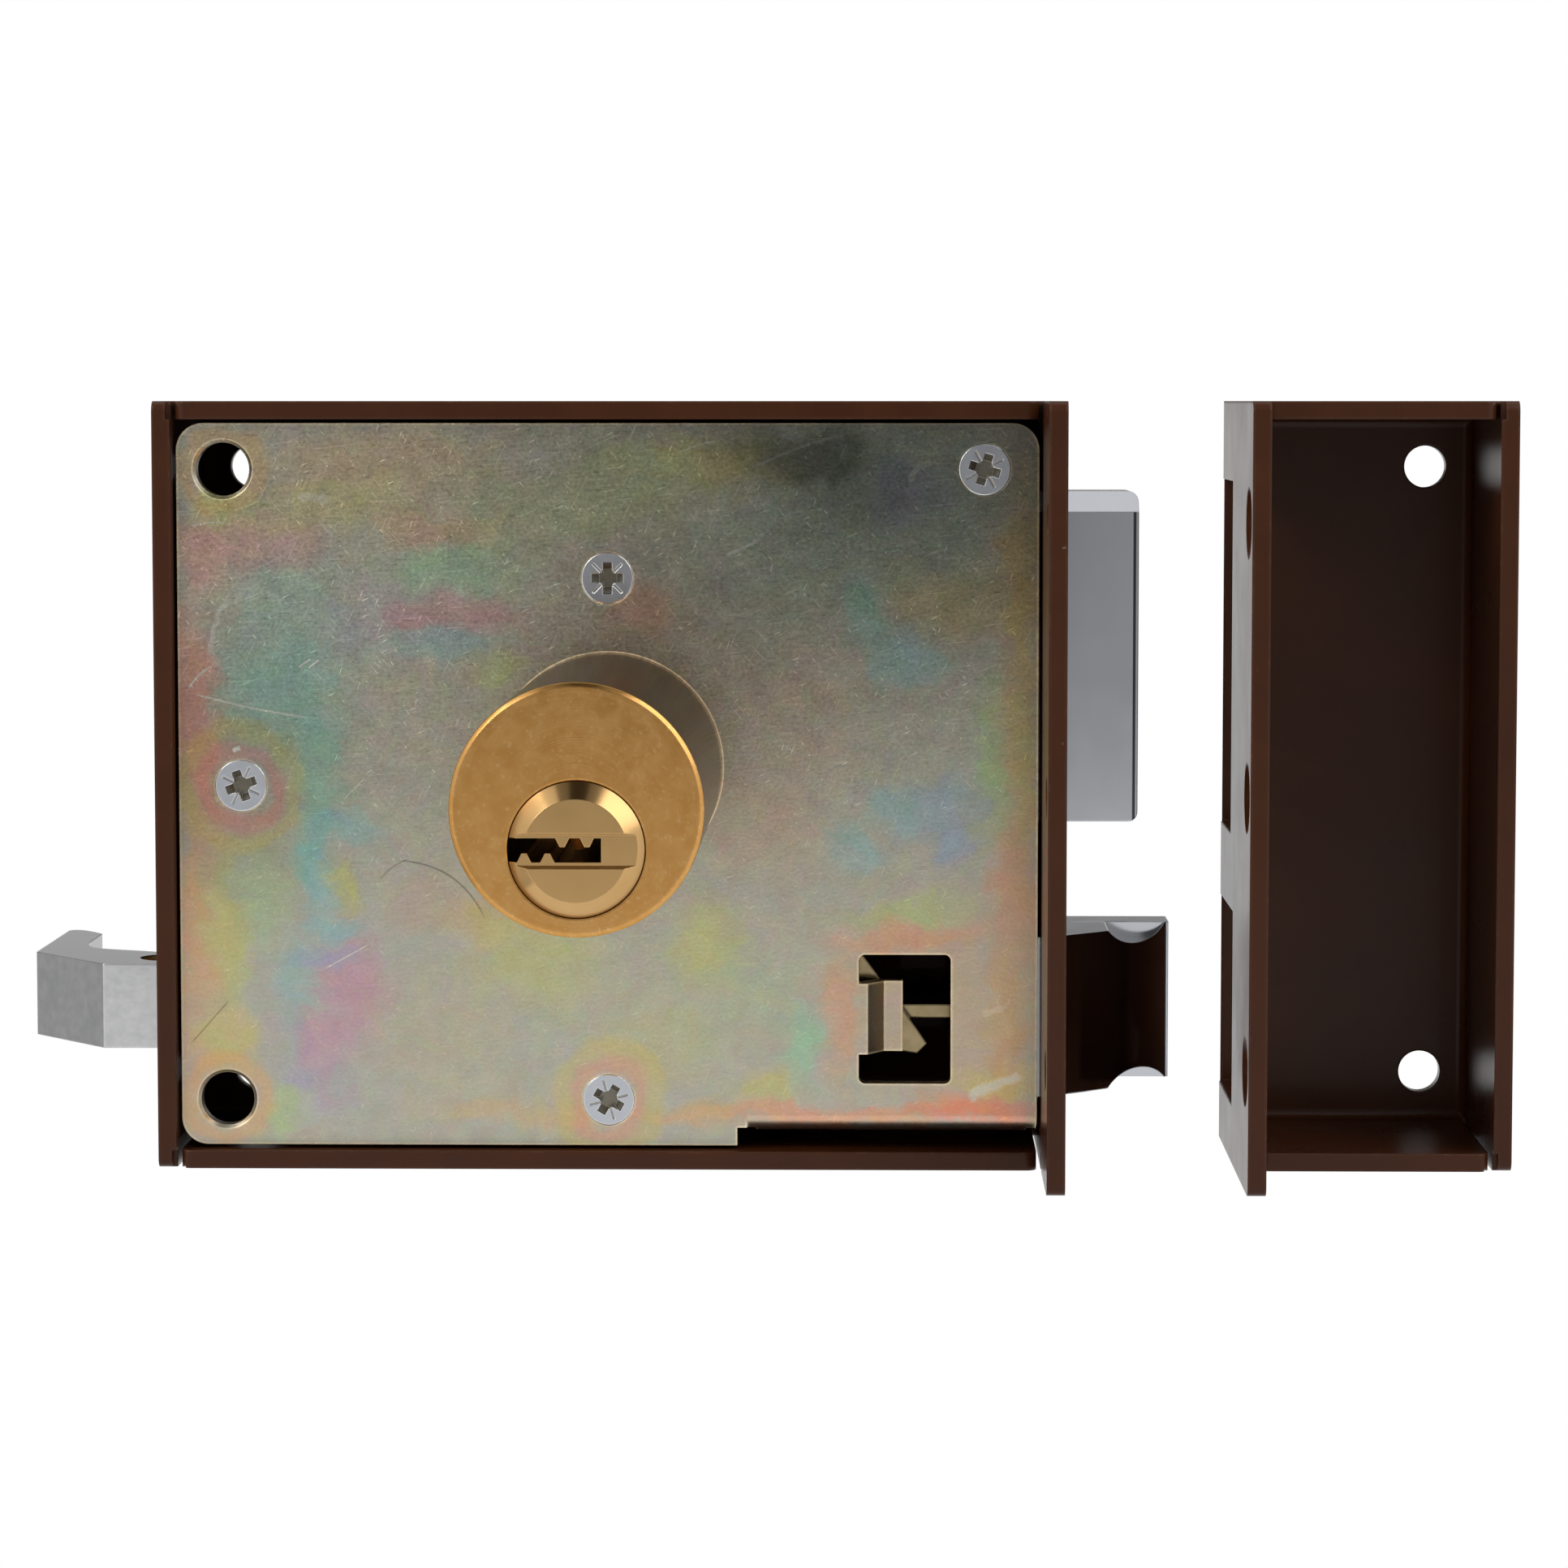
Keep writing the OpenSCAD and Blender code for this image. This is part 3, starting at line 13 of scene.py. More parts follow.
import bpy
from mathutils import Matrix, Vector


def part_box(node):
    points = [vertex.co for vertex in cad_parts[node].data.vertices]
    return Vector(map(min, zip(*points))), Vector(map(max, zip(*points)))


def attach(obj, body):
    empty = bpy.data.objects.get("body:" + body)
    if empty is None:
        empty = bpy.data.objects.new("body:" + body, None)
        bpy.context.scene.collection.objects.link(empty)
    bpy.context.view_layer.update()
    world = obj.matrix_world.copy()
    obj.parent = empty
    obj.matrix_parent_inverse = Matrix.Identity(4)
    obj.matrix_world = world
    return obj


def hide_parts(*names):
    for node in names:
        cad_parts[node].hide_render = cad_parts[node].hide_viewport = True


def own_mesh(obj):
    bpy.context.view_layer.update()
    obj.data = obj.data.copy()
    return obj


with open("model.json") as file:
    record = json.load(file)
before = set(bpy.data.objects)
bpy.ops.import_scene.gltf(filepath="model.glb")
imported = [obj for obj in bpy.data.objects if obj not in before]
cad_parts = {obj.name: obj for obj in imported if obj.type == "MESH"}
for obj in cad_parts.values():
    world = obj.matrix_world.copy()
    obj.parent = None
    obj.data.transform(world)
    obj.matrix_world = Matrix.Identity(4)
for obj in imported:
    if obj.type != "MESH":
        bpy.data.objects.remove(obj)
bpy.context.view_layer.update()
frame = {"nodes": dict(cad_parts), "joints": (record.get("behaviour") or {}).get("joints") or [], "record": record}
nodes = frame["nodes"]
scene = bpy.context.scene

# %% [markdown]
# ## Camera
# The photograph was taken from a little above and to the right of the key cylinder. Its depth
# lines, such as the edges of the keep, run to one vanishing point, and that point with the lock's
# known width gives the camera's place. A long lens keeps the outlines nearly square, as in a
# catalogue picture.

# %% Camera
PHOTO_PX = 1932
FOCAL_PX = 6000
SENSOR_MM = 36
CAMERA_AT = (0.02976, -0.5349, 0.0405)
# Where it looks, in degrees below the horizon and to the left
LOOKS_DOWN = 4.507
LOOKS_LEFT = 1.095
camera_data = bpy.data.cameras.new("camera")
camera_data.sensor_width = SENSOR_MM
camera_data.lens = FOCAL_PX / PHOTO_PX * SENSOR_MM
camera = bpy.data.objects.new("camera", camera_data)
camera.location = CAMERA_AT
camera.rotation_euler = (math.radians(90 - LOOKS_DOWN), 0, math.radians(LOOKS_LEFT))
scene.collection.objects.link(camera)
scene.camera = camera
print("lens", round(camera_data.lens, 1), "mm")

# %% [markdown]
# ## Light
# Catalogue pictures of metal are made inside a white tent: the metal has little but white to
# mirror, and cards give it shape. The world does the same here. It is plain white where the
# camera, a mirror or glass looks at it, and softer as a light on paint. Two soft boxes, high at
# the left and right, make the bevels and rounded edges glint. The colour settings stay at the
# Standard view, so a colour shows about as it is written.

# %% World
# Strength of the tent where it is looked at, and as a light on paint
TENT_SEEN = 1.0
TENT_LIGHT = 0.6
scene.view_settings.view_transform = "Standard"
world = bpy.data.worlds.new("white_tent")
world.use_nodes = True
scene.world = world
world_nodes = world.node_tree.nodes
world_links = world.node_tree.links


def background(strength):
    """One plain white background shader of that strength."""
    node = world_nodes.new("ShaderNodeBackground")
    node.inputs["Color"].default_value = (1, 1, 1, 1)
    node.inputs["Strength"].default_value = strength
    return node.outputs[0]


path = world_nodes.new("ShaderNodeLightPath")
seen = path.outputs["Is Camera Ray"]
for ray in ("Is Glossy Ray", "Is Transmission Ray"):
    either = world_nodes.new("ShaderNodeMath")
    either.operation = "MAXIMUM"
    world_links.new(seen, either.inputs[0])
    world_links.new(path.outputs[ray], either.inputs[1])
    seen = either.outputs[0]
choice = world_nodes.new("ShaderNodeMixShader")
world_links.new(seen, choice.inputs[0])
world_links.new(background(TENT_LIGHT), choice.inputs[1])
world_links.new(background(TENT_SEEN), choice.inputs[2])
world_links.new(choice.outputs[0], world_nodes["World Output"].inputs["Surface"])
print("white tent with", len(world_nodes), "nodes")

# %% Lamps
LAMP_TARGET = (0.02, 0, 0)
# Name, place and size in metres, watts
LAMPS = [
    ("left_box", (-0.52, -0.30, 0.48), 0.35, 2.4),
    ("right_box", (0.54, -0.30, 0.52), 0.65, 2.4),
]
for name, place, size, watts in LAMPS:
    data = bpy.data.lights.new(name, "AREA")
    data.size = size
    data.energy = watts
    lamp = bpy.data.objects.new(name, data)
    lamp.location = place
    aim = Vector(LAMP_TARGET) - lamp.location
    lamp.rotation_euler = aim.to_track_quat("-Z", "Y").to_euler()
    scene.collection.objects.link(lamp)
print(len(LAMPS), "lamps")

# %% [markdown]
# A flat mirror that faces the camera shows what stands behind the camera. In the picture that is a
# grey room, and close by the dark camera itself, which darkens the upper right of the plate. Faces
# that look up or to the left mirror the walls there, and a dark spot overhead shows in the bevel
# of the plug. Seven cards stand in for these. They are seen in reflections only: the camera, the
# shadows and the soft light pass through them.

# %% Cards around the lock
CARD_ROUGHNESS = 0.9
# Name, two opposite corners in metres, and how light the card is
CARDS = [
    ("grey_room", (-0.80, -1.2, -0.12), (0.90, -1.2, 0.90), 0.60),
    ("dark_camera", (-0.05, -0.56, -0.01), (0.062, -0.56, 0.25), 0.03),
    ("back_wall", (-0.05, 0.9, 0.055), (1.6, 0.9, 1.2), 0.17),
    ("back_wall_left", (-1.6, 0.9, 0.055), (-0.05, 0.9, 1.2), 0.42),
    ("left_wall", (-1.1, 0.1, -0.9), (-1.1, 0.9, 1.2), 0.62),
    ("dark_overhead", (-0.045, -0.30, 0.25), (0.045, -0.02, 0.25), 0.03),
    ("grey_overhead", (-0.11, -0.30, 0.252), (0.11, -0.02, 0.252), 0.40),
]


def card(name, low, high, grey):
    """A flat rectangle between two corners that share one coordinate, seen by reflections only."""
    (x0, y0, z0), (x1, y1, z1) = low, high
    middle = [(x0, y1, z0), (x1, y0, z1)] if x0 == x1 else [(x1, y0, z0), (x0, y1, z1)]
    corners = [low, middle[0], high, middle[1]]
    mesh = bpy.data.meshes.new(name)
    mesh.from_pydata(corners, [], [(0, 1, 2, 3)])
    paint = bpy.data.materials.new(name)
    paint.use_nodes = True
    matt = paint.node_tree.nodes["Principled BSDF"]
    matt.inputs["Base Color"].default_value = (grey, grey, grey, 1)
    matt.inputs["Roughness"].default_value = CARD_ROUGHNESS
    mesh.materials.append(paint)
    sheet = bpy.data.objects.new(name, mesh)
    scene.collection.objects.link(sheet)
    sheet.visible_camera = False
    sheet.visible_shadow = False
    sheet.visible_diffuse = False


for row in CARDS:
    card(*row)
print(len(CARDS), "cards")

# %% [markdown]
# ## Finishes made of nodes
# A material is a small graph. Written node by node, even a short formula takes a dozen lines, so a
# Wire wraps an output socket and turns each operator into the Math node that it stands for. A
# Graph holds the material and adds any other node by its name.

# %% Wires


class Wire:
    """An output socket that can be added, subtracted, multiplied and divided."""

    def __init__(self, graph, socket):
        self.graph = graph
        self.socket = socket

    def __add__(self, other):
        return self.graph.math("ADD", self, other)

    def __radd__(self, other):
        return self.graph.math("ADD", other, self)

    def __sub__(self, other):
        return self.graph.math("SUBTRACT", self, other)

    def __rsub__(self, other):
        return self.graph.math("SUBTRACT", other, self)

    def __mul__(self, other):
        return self.graph.math("MULTIPLY", self, other)

    def __rmul__(self, other):
        return self.graph.math("MULTIPLY", other, self)

    def __truediv__(self, other):
        return self.graph.math("DIVIDE", self, other)


print("a wire for each output socket")

# %% Graphs


class Graph:
    """One material. add() places any shader node and returns one of its outputs as a Wire."""

    def __init__(self, name, **constants):
        self.material = bpy.data.materials.new(name)
        self.material.use_nodes = True
        self.tree = self.material.node_tree
        self.shader = self.tree.nodes["Principled BSDF"]
        self.set(**constants)

    def feed(self, socket, value):
        """Put a constant on a socket, or link a wire to it."""
        if isinstance(value, Wire):
            self.tree.links.new(value.socket, socket)
        else:
            socket.default_value = value

    def set(self, **values):
        """Feed the shader's own inputs, such as Base_Color or Roughness."""
        for socket, value in values.items():
            self.feed(self.shader.inputs[socket.replace("_", " ")], value)

    def add(self, kind, settings=None, inputs=None, output=0):
        node = self.tree.nodes.new("ShaderNode" + kind)
        for key, value in (settings or {}).items():
            setattr(node, key, value)
        for key, value in (inputs or {}).items():
            self.feed(node.inputs[key], value)
        return Wire(self, node.outputs[output])

    def math(self, operation, first, second=0.0):
        return self.add("Math", {"operation": operation}, {0: first, 1: second})

    def vector(self, operation, first, second=(0, 0, 0), output=0, scale=None):
        inputs = {0: first, 1: second} if scale is None else {0: first, "Scale": scale}
        return self.add("VectorMath", {"operation": operation}, inputs, output)

    def length(self, first):
        return self.vector("LENGTH", first, output="Value")

    def distance(self, first, second):
        return self.vector("DISTANCE", first, second, output="Value")

    def dot(self, first, second):
        return self.vector("DOT_PRODUCT", first, second, output="Value")

    def axis(self, place, letter):
        """One coordinate of a place: X, Y or Z."""
        return self.add("SeparateXYZ", None, {0: place}, output=letter)

    def noise(self, place, size, detail=2.0, output=0):
        """Soft noise from 0 to 1 whose lumps are about size millimetres wide."""
        inputs = {"Vector": place, "Scale": 1 / size, "Detail": detail}
        return self.add("TexNoise", None, inputs, output)

    def smooth(self, value, low, high):
        """A smooth step: 0 below low, 1 above high."""
        inputs = {"Value": value, "From Min": low, "From Max": high}
        return self.add("MapRange", {"interpolation_type": "SMOOTHSTEP"}, inputs)

    def mix(self, factor, first, second):
        return self.add("Mix", {"data_type": "RGBA"}, {0: factor, 6: first, 7: second}, output=2)


print("a graph for each material")

# %% [markdown]
# A Finish is such a graph with a stock of patterns: spots, strokes, hair lines, nicks, and a mask
# of the edges. All of them are worked out in millimetres from the point on the piece, so they need
# no unwrapping and stay in place when the piece moves.

# %% Patterns for finishes
MM = 1000
BEVEL_SAMPLES = 6
# Where each pattern begins to fade, and where it has faded out
NICK_FADE = (0.02, 0.07)
SPOT_FADE = (0.25, 1.25)
# Share of a stroke's half width that is solid, and share of its length that each end tapers
STROKE_CORE = 0.3
STROKE_TAPER = 0.15


class Finish(Graph):
    """A material with patterns that are laid out in millimetres."""

    def place_mm(self):
        """The point on the piece, in millimetres in the lock's own frame."""
        return self.vector("MULTIPLY", self.add("TexCoord", output="Object"), (MM, MM, MM))

    def stir(self, place, size, reach):
        """The place moved about by noise, so that outlines drawn on it come out uneven."""
        colour = self.noise(place, size, output="Color")
        shift = self.vector("SUBTRACT", colour, (0.5, 0.5, 0.5))
        return self.vector("ADD", place, self.vector("SCALE", shift, scale=float(reach)))

    def drawn_out(self, flat, turn, long, wide):
        """The flat place turned by degrees, and measured in lengths and widths of a mark."""
        inputs = {"Vector": flat, "Rotation": (0, 0, math.radians(turn)), "Scale": (long, wide, 1)}
        return self.add("Mapping", {"vector_type": "TEXTURE"}, inputs)

    def nicks(self, flat, turn, long, wide, share):
        """Short marks along one direction, one to a cell, in those cells that draw above share."""
        inputs = {"Vector": self.drawn_out(flat, turn, long, wide), "Scale": 1.0}
        near = self.add("TexVoronoi", {"voronoi_dimensions": "2D"}, inputs)
        draw = Wire(self, near.socket.node.outputs["Color"])
        draw = self.add("SeparateColor", None, {0: draw})
        return (1 - self.smooth(near, *NICK_FADE)) * self.smooth(draw, share, 1.0)

    def hairs(self, flat, turn, long, wide, low, high):
        """Hair lines along one direction: noise drawn out long and thin, kept above a level."""
        drawn = self.drawn_out(flat, turn, long, wide)
        return self.smooth(self.noise(drawn, 1.0), low, high)

    def spot(self, flat, x, z, half_w, half_h):
        """A soft-edged ellipse: 1 in its middle, 0 a little outside its half width and height."""
        offset = self.vector("SUBTRACT", flat, (x, z, 0))
        offset = self.vector("MULTIPLY", offset, (1 / half_w, 1 / half_h, 0))
        return 1 - self.smooth(self.length(offset), *SPOT_FADE)

    def stroke(self, flat, start, end, bow, half):
        """One scratch from start to end, bowed to its left, and half millimetres wide each side."""
        run = Vector(end) - Vector(start)
        way = run.normalized()
        offset = self.vector("SUBTRACT", flat, (*start, 0))
        share = self.dot(offset, (*way, 0)) / run.length
        beside = self.dot(offset, (-way.y, way.x, 0)) - 4 * bow * share * (1 - share)
        line = 1 - self.smooth(self.math("ABSOLUTE", beside), STROKE_CORE * half, half)
        tail = 1 - self.smooth(share, 1 - STROKE_TAPER, 1)
        return line * self.smooth(share, 0, STROKE_TAPER) * tail

    def within(self, place, low, high, soft):
        """1 inside a box and 0 outside it, with the change spread over soft millimetres."""
        centre = (Vector(low) + Vector(high)) / 2
        half = Vector(high) - centre
        offset = self.vector("ABSOLUTE", self.vector("SUBTRACT", place, tuple(centre)))
        room = self.vector("SUBTRACT", tuple(half), offset)
        least = self.axis(room, "X")
        for letter in "YZ":
            least = self.math("MINIMUM", least, self.axis(room, letter))
        return self.smooth(least, 0, soft)

    def bevel(self, radius_mm):
        """The normal as it would be if every edge were rounded."""
        return self.add("Bevel", {"samples": BEVEL_SAMPLES}, {"Radius": radius_mm / MM})

    def true_normal(self):
        return self.add("NewGeometry", output="True Normal")

    def edges(self, radius_mm, low, high):
        """1 along the edges of a piece and 0 on its flats: where a wide bevel turns the normal."""
        return 1 - self.smooth(self.dot(self.bevel(radius_mm), self.true_normal()), low, high)

    def soft_edges(self, radius_mm, height=None, depth_mm=0.0):
        """Round every edge in the shading, and add a bump of a given height where there is one."""
        normal = self.bevel(radius_mm)
        if height is not None:
            inputs = {"Height": height, "Distance": depth_mm / MM, "Normal": normal}
            normal = self.add("Bump", None, inputs)
        self.set(Normal=normal)


print("patterns ready")

# %% [markdown]
# Colours are written from 0 to 255, as on a screen, while a shader counts light in linear steps.
# The function rgb follows the screen's curve from one to the other. The function hue also takes the
# lightness out, for tints that only turn the colour.

# %% Colours


def rgb(red, green, blue):
    """A colour from 0 to 255, as the linear values of the sRGB curve that a shader takes."""
    linear = []
    for value in (red, green, blue):
        v = value / 255
        linear.append(v / 12.92 if v <= 0.04045 else ((v + 0.055) / 1.055) ** 2.4)
    return (*linear, 1.0)


def hue(red, green, blue):
    """The same colour as a tint: scaled so that it changes the hue and hardly the lightness."""
    linear = rgb(red, green, blue)[:3]
    light = sum(linear) / 3
    return (*[c / light for c in linear], 1.0)


print("middle grey is", round(rgb(128, 128, 128)[0], 3), "in linear light")

# %% [markdown]
# ## Brown enamel
# The case and the keep are folded sheet with stoved gloss enamel. Enamel is a colour under a clear
# skin, so it gets a low roughness and a thin coat. The skin is never flat: a faint orange-peel
# bump breaks up the reflections. Along the edges the enamel is thin, and handling has knocked
# small chips out of it. Inside the case the paint is dull, so that the window looks into the dark.

# %% Brown enamel
# Chips: X, Y and Z of the middle in mm, and the radius
CHIPS = [
    (49.6, -17.8, 25.0, 0.45),
    (49.4, -17.9, 4.0, 0.35),
    (49.2, -17.8, -9.5, 0.3),
    (-49.6, 0.2, -20.0, 0.3),
    (70.0, -17.8, 12.0, 0.3),
]
CHIP_EDGE = 0.4
# Two corners of the room inside the case, in mm, and how softly it begins
INSIDE_LOW = (-49.2, 0.8, -41.7)
INSIDE_HIGH = (49.2, 28.2, 41.7)
INSIDE_SOFT = 0.8
enamel = Finish("brown_enamel", Coat_Weight=0.04, Coat_Roughness=0.06, Specular_IOR_Level=0.16)
place = enamel.place_mm()
peel = enamel.noise(place, 1.4, detail=1)
cloud = enamel.noise(place, 7, detail=3)
brown = enamel.mix(cloud, rgb(57, 29, 14), rgb(74, 39, 19))
edge = enamel.edges(radius_mm=0.7, low=0.80, high=0.97)
worn = edge * enamel.smooth(enamel.noise(place, 1.6, detail=4), 0.56, 0.66)
brown = enamel.mix(0.30 * edge + 0.35 * worn, brown, rgb(104, 70, 56))
jagged = enamel.noise(place, 0.5, detail=2)
for x, y, z, size in CHIPS:
    far = enamel.distance(place, (x, y, z)) + jagged
    chip = 1 - enamel.smooth(far, size, size + CHIP_EDGE)
    brown = enamel.mix(chip, brown, rgb(140, 116, 102))
inside = enamel.within(place, INSIDE_LOW, INSIDE_HIGH, INSIDE_SOFT)
enamel.set(Base_Color=brown, Roughness=0.24 + 0.10 * cloud + 0.6 * inside)
enamel.soft_edges(radius_mm=0.45, height=peel, depth_mm=0.010)
print(enamel.material.name, "with", len(CHIPS), "chips")

# %% [markdown]
# ## The rainbow plate
# Yellow passivation is a thin clear film on zinc. Where the film is thicker its colour runs from
# straw through pink and violet to blue and green, so no two plates are alike. A thin-film shader
# would give bands that can't be steered. Here soft-edged patches of tint are laid over a straw
# base, with their outlines disturbed by noise, and each patch is a line in a table that can be
# changed by eye. The tints change the hue only: how light the plate is comes from the metal and
# from what it mirrors.

# %% Rainbow plate: tint patches
# Centre X and Z in mm, half width and half height, hue
PATCHES = [
    (28, 28, 24, 15, (126, 142, 126)),
    (38, -26, 14, 12, (204, 168, 128)),
    (45.5, 0, 4, 36, (192, 158, 110)),
    (-45, -14, 4, 26, (206, 160, 122)),
    (-30, -28, 16, 14, (160, 158, 156)),
    (-46, 8, 4, 13, (200, 120, 100)),
    (-45, 25, 4, 5, (184, 132, 112)),
    (-42, 29, 5, 3, (150, 165, 85)),
    (-39, 25, 9, 4, (180, 126, 120)),
    (-24, 34, 15, 5, (172, 146, 104)),
    (-30, 29, 10, 4, (166, 154, 92)),
    (-18, 27, 9, 3, (178, 138, 104)),
    (-34, 16, 10, 9, (122, 154, 138)),
    (-36, 7, 8, 8, (98, 150, 136)),
    (-17, 22.5, 9, 3.5, (116, 158, 122)),
    (-26, 17.5, 7, 5, (152, 140, 146)),
    (-19, 16.5, 6, 3.5, (172, 122, 128)),
    (-12.5, 17, 4, 2.5, (172, 124, 128)),
    (-18, 13, 7, 2.5, (115, 150, 152)),
    (-12.5, 10.5, 3, 1.6, (150, 164, 98)),
    (-32.5, -2, 3.5, 11, (104, 160, 138)),
    (-29, -6.5, 4.5, 2, (100, 165, 168)),
    (-29.6, -12.7, 2, 3, (180, 182, 82)),
    (-38, -14, 4, 9, (158, 178, 130)),
    (-46.2, -18, 2, 14, (220, 164, 112)),
    (-42.5, -19, 3.5, 11, (186, 188, 84)),
    (-42.5, -30, 3.5, 4, (200, 178, 88)),
    (-32.6, -11.5, 2, 6, (96, 172, 168)),
    (-30, -17.3, 3.2, 1.8, (104, 176, 180)),
    (-34.2, -23, 2.4, 6, (134, 178, 174)),
    (-35, -32, 2, 7, (152, 172, 178)),
    (-28, -24.7, 5.5, 8, (200, 126, 156)),
    (-30.5, -20.5, 4, 2, (142, 154, 188)),
    (-33, -31, 3.5, 4, (192, 130, 152)),
    (-33, -36, 4, 4, (168, 150, 172)),
    (-36, -38, 3, 3, (158, 182, 112)),
    (-20, -15, 6, 4, (178, 156, 134)),
    (-14, -18, 5, 3, (196, 166, 82)),
    (-8, -22, 9, 6, (176, 176, 92)),
    (1, -25, 10, 5, (168, 166, 140)),
    (-19, -30, 9, 9, (174, 164, 132)),
    (11, -20, 5, 6, (176, 176, 86)),
    (6, -30, 8, 5, (170, 170, 122)),
    (17, -25, 6, 6, (160, 170, 132)),
    (21.5, -31, 3, 4.5, (122, 182, 142)),
    (17.5, -36, 4.5, 2.5, (194, 186, 88)),
    (27, -38.6, 22, 1.6, (226, 138, 82)),
    (-9, -38.5, 12, 2, (198, 166, 108)),
    (10, -38.3, 7, 2, (204, 160, 106)),
    (41, -38, 8, 2.5, (238, 108, 66)),
    (43, -34.5, 6, 3, (216, 180, 64)),
    (44, -28, 3, 8, (202, 154, 96)),
    (26, -27, 2.5, 8, (206, 140, 102)),
    (33, -18.3, 10, 2.2, (212, 138, 96)),
    (33, -15.6, 9, 1.8, (172, 180, 104)),
    (45, -14, 3, 9, (212, 150, 112)),
    (45.8, 4, 2, 16, (180, 166, 92)),
    (42, 0, 2.5, 11, (142, 174, 116)),
    (37, -5, 4.5, 4, (126, 156, 174)),
    (32, -4, 3, 3.5, (120, 165, 172)),
    (27.5, -8, 2.5, 3, (118, 166, 162)),
    (38.5, -8.5, 3, 2.5, (132, 150, 180)),
    (33, 11.5, 5, 4, (108, 152, 150)),
    (28.5, 16.5, 3, 4.5, (108, 158, 142)),
    (38, 19, 8, 5, (172, 152, 92)),
    (45.8, 22, 2, 10, (180, 158, 90)),
    (21, 6, 9, 9, (168, 152, 132)),
    (18, -7, 7, 6, (172, 148, 126)),
    (3.5, 18, 4, 4, (180, 130, 104)),
    (12, 34, 9, 4, (162, 150, 72)),
    (33, 30, 5, 4, (118, 122, 134)),
    (2, 31, 10, 5, (142, 152, 102)),
    (-10, 28, 8, 6, (148, 156, 114)),
]
# Rings round the holes and screws, where the bath ran: X, Z, radius and hue
RINGS = [
    (-40.7, -2.1, 4.2, (204, 112, 104)),
    (-40.7, -2.1, 6.2, (196, 174, 84)),
    (-42.5, -37.1, 4.2, (216, 156, 82)),
    (-42.5, 32.9, 4.0, (206, 160, 92)),
    (0, -37.1, 3.8, (216, 136, 102)),
    (0, -37.1, 5.6, (202, 180, 92)),
]
print(len(PATCHES), "patches and", len(RINGS), "rings of tint")

# %% Rainbow plate: film
# Strength of the film, and of the rings and the fine speckle in it
FILM = 0.52
RING_FILM = 0.7
SPECKLE_FILM = 0.16
SPECKLE_MM = 2.4
# Stirring of the outlines, coarse to fine: size of the lumps and reach, in mm
STIRS = [(9, 7), (2.6, 3.4), (0.7, 1.2)]
plate = Finish("rainbow_zinc")
place = plate.place_mm()
across = plate.axis(place, "X")
height = plate.axis(place, "Z")
flat = plate.add("CombineXYZ", None, {0: across, 1: height})
stirred = flat
for size, reach in STIRS:
    stirred = plate.stir(stirred, size, reach)
tint = plate.mix(plate.noise(flat, 14, detail=3), hue(156, 158, 142), hue(161, 153, 134))
for x, z, half_w, half_h, colour in PATCHES:
    tint = plate.mix(FILM * plate.spot(stirred, x, z, half_w, half_h), tint, hue(*colour))
speckle = plate.noise(stirred, SPECKLE_MM, detail=5.0, output="Color")
# The speckle's mean is a half, and a tint's mean is one
tint = plate.mix(SPECKLE_FILM, tint, plate.vector("SCALE", speckle, scale=2.0))
near = plate.stir(flat, 5, 4)
for x, z, radius, colour in RINGS:
    far = plate.distance(near, (x, z, 0)) - radius
    ring = 1 - plate.smooth(plate.math("ABSOLUTE", far), 0.2, 1.6)
    tint = plate.mix(RING_FILM * ring * FILM, tint, hue(*colour))
print("film of", len(plate.tree.nodes), "nodes")

# %% [markdown]
# Under the film the zinc is rolled sheet that has been handled. It has a grain along the rolling
# direction, a mesh of hair lines, short bright nicks and a few long scrapes. Hair lines are noise
# drawn out long and thin. A nick is a cell of a stretched Voronoi pattern whose middle alone is
# kept. The scrapes are drawn one by one, each with two ends, a bow and a width, and they take the
# film off the zinc.

# %% Rainbow plate: hair lines, nicks and scrapes
# Scrapes: ends in X and Z in mm, bow, half width, and how much lighter (or darker) it is
SCRAPES = [
    (15.6, 32.9, 26.2, 36.8, 0.3, 0.22, 0.45),
    (12.9, 23.4, 17.6, 25.9, -0.2, 0.30, 0.35),
    (7.6, 34.6, 12.1, 36.1, 0.1, 0.15, 0.3),
    (33.2, 31.0, 36.0, 34.0, 0.5, 0.5, 0.3),
    (-46.5, 8.3, -32.6, 5.4, -0.3, 0.16, 0.45),
    (-46.5, 8.5, -43.8, 11.2, 0.3, 0.16, 0.45),
    (-43.8, 11.9, -41.6, 19.0, 0.8, 0.45, 0.25),
    (-46.5, 26.5, -42.0, 27.0, 0.2, 0.10, 0.3),
    (-34.3, 11.0, -32.8, 12.0, 0.0, 0.12, 0.8),
    (-33.2, 10.9, -31.9, 11.9, 0.0, 0.12, 0.8),
    (-34.2, 29.6, -30.6, 29.5, 0.2, 0.7, 0.25),
    (-41.7, 1.9, -40.7, 2.1, 0.0, 0.4, 0.9),
    (-25.6, -12.9, -22.0, -10.2, 0.4, 0.13, -0.30),
    (-23.7, -10.4, -13.5, -17.3, 2.0, 0.16, -0.42),
    (-46.7, -31.1, -42.0, -25.8, 0.0, 0.14, -0.35),
    (-31.9, -22.7, -26.3, -19.6, 0.0, 0.12, 0.35),
    (-29.4, -3.7, -26.9, -1.2, 0.0, 0.12, 0.4),
    (39.6, -37.0, 46.2, -34.3, 0.3, 0.8, 0.3),
    (41.6, -27.5, 44.4, -26.6, 0.1, 0.45, 0.18),
]
# Nicks: direction in degrees, length and width of a cell in mm, share of the cells left empty
NICKS = [
    (25, 8, 0.9, 0.60),
    (-50, 6, 0.8, 0.60),
    (70, 9, 0.8, 0.70),
    (0, 1.4, 1.4, 0.50),
]
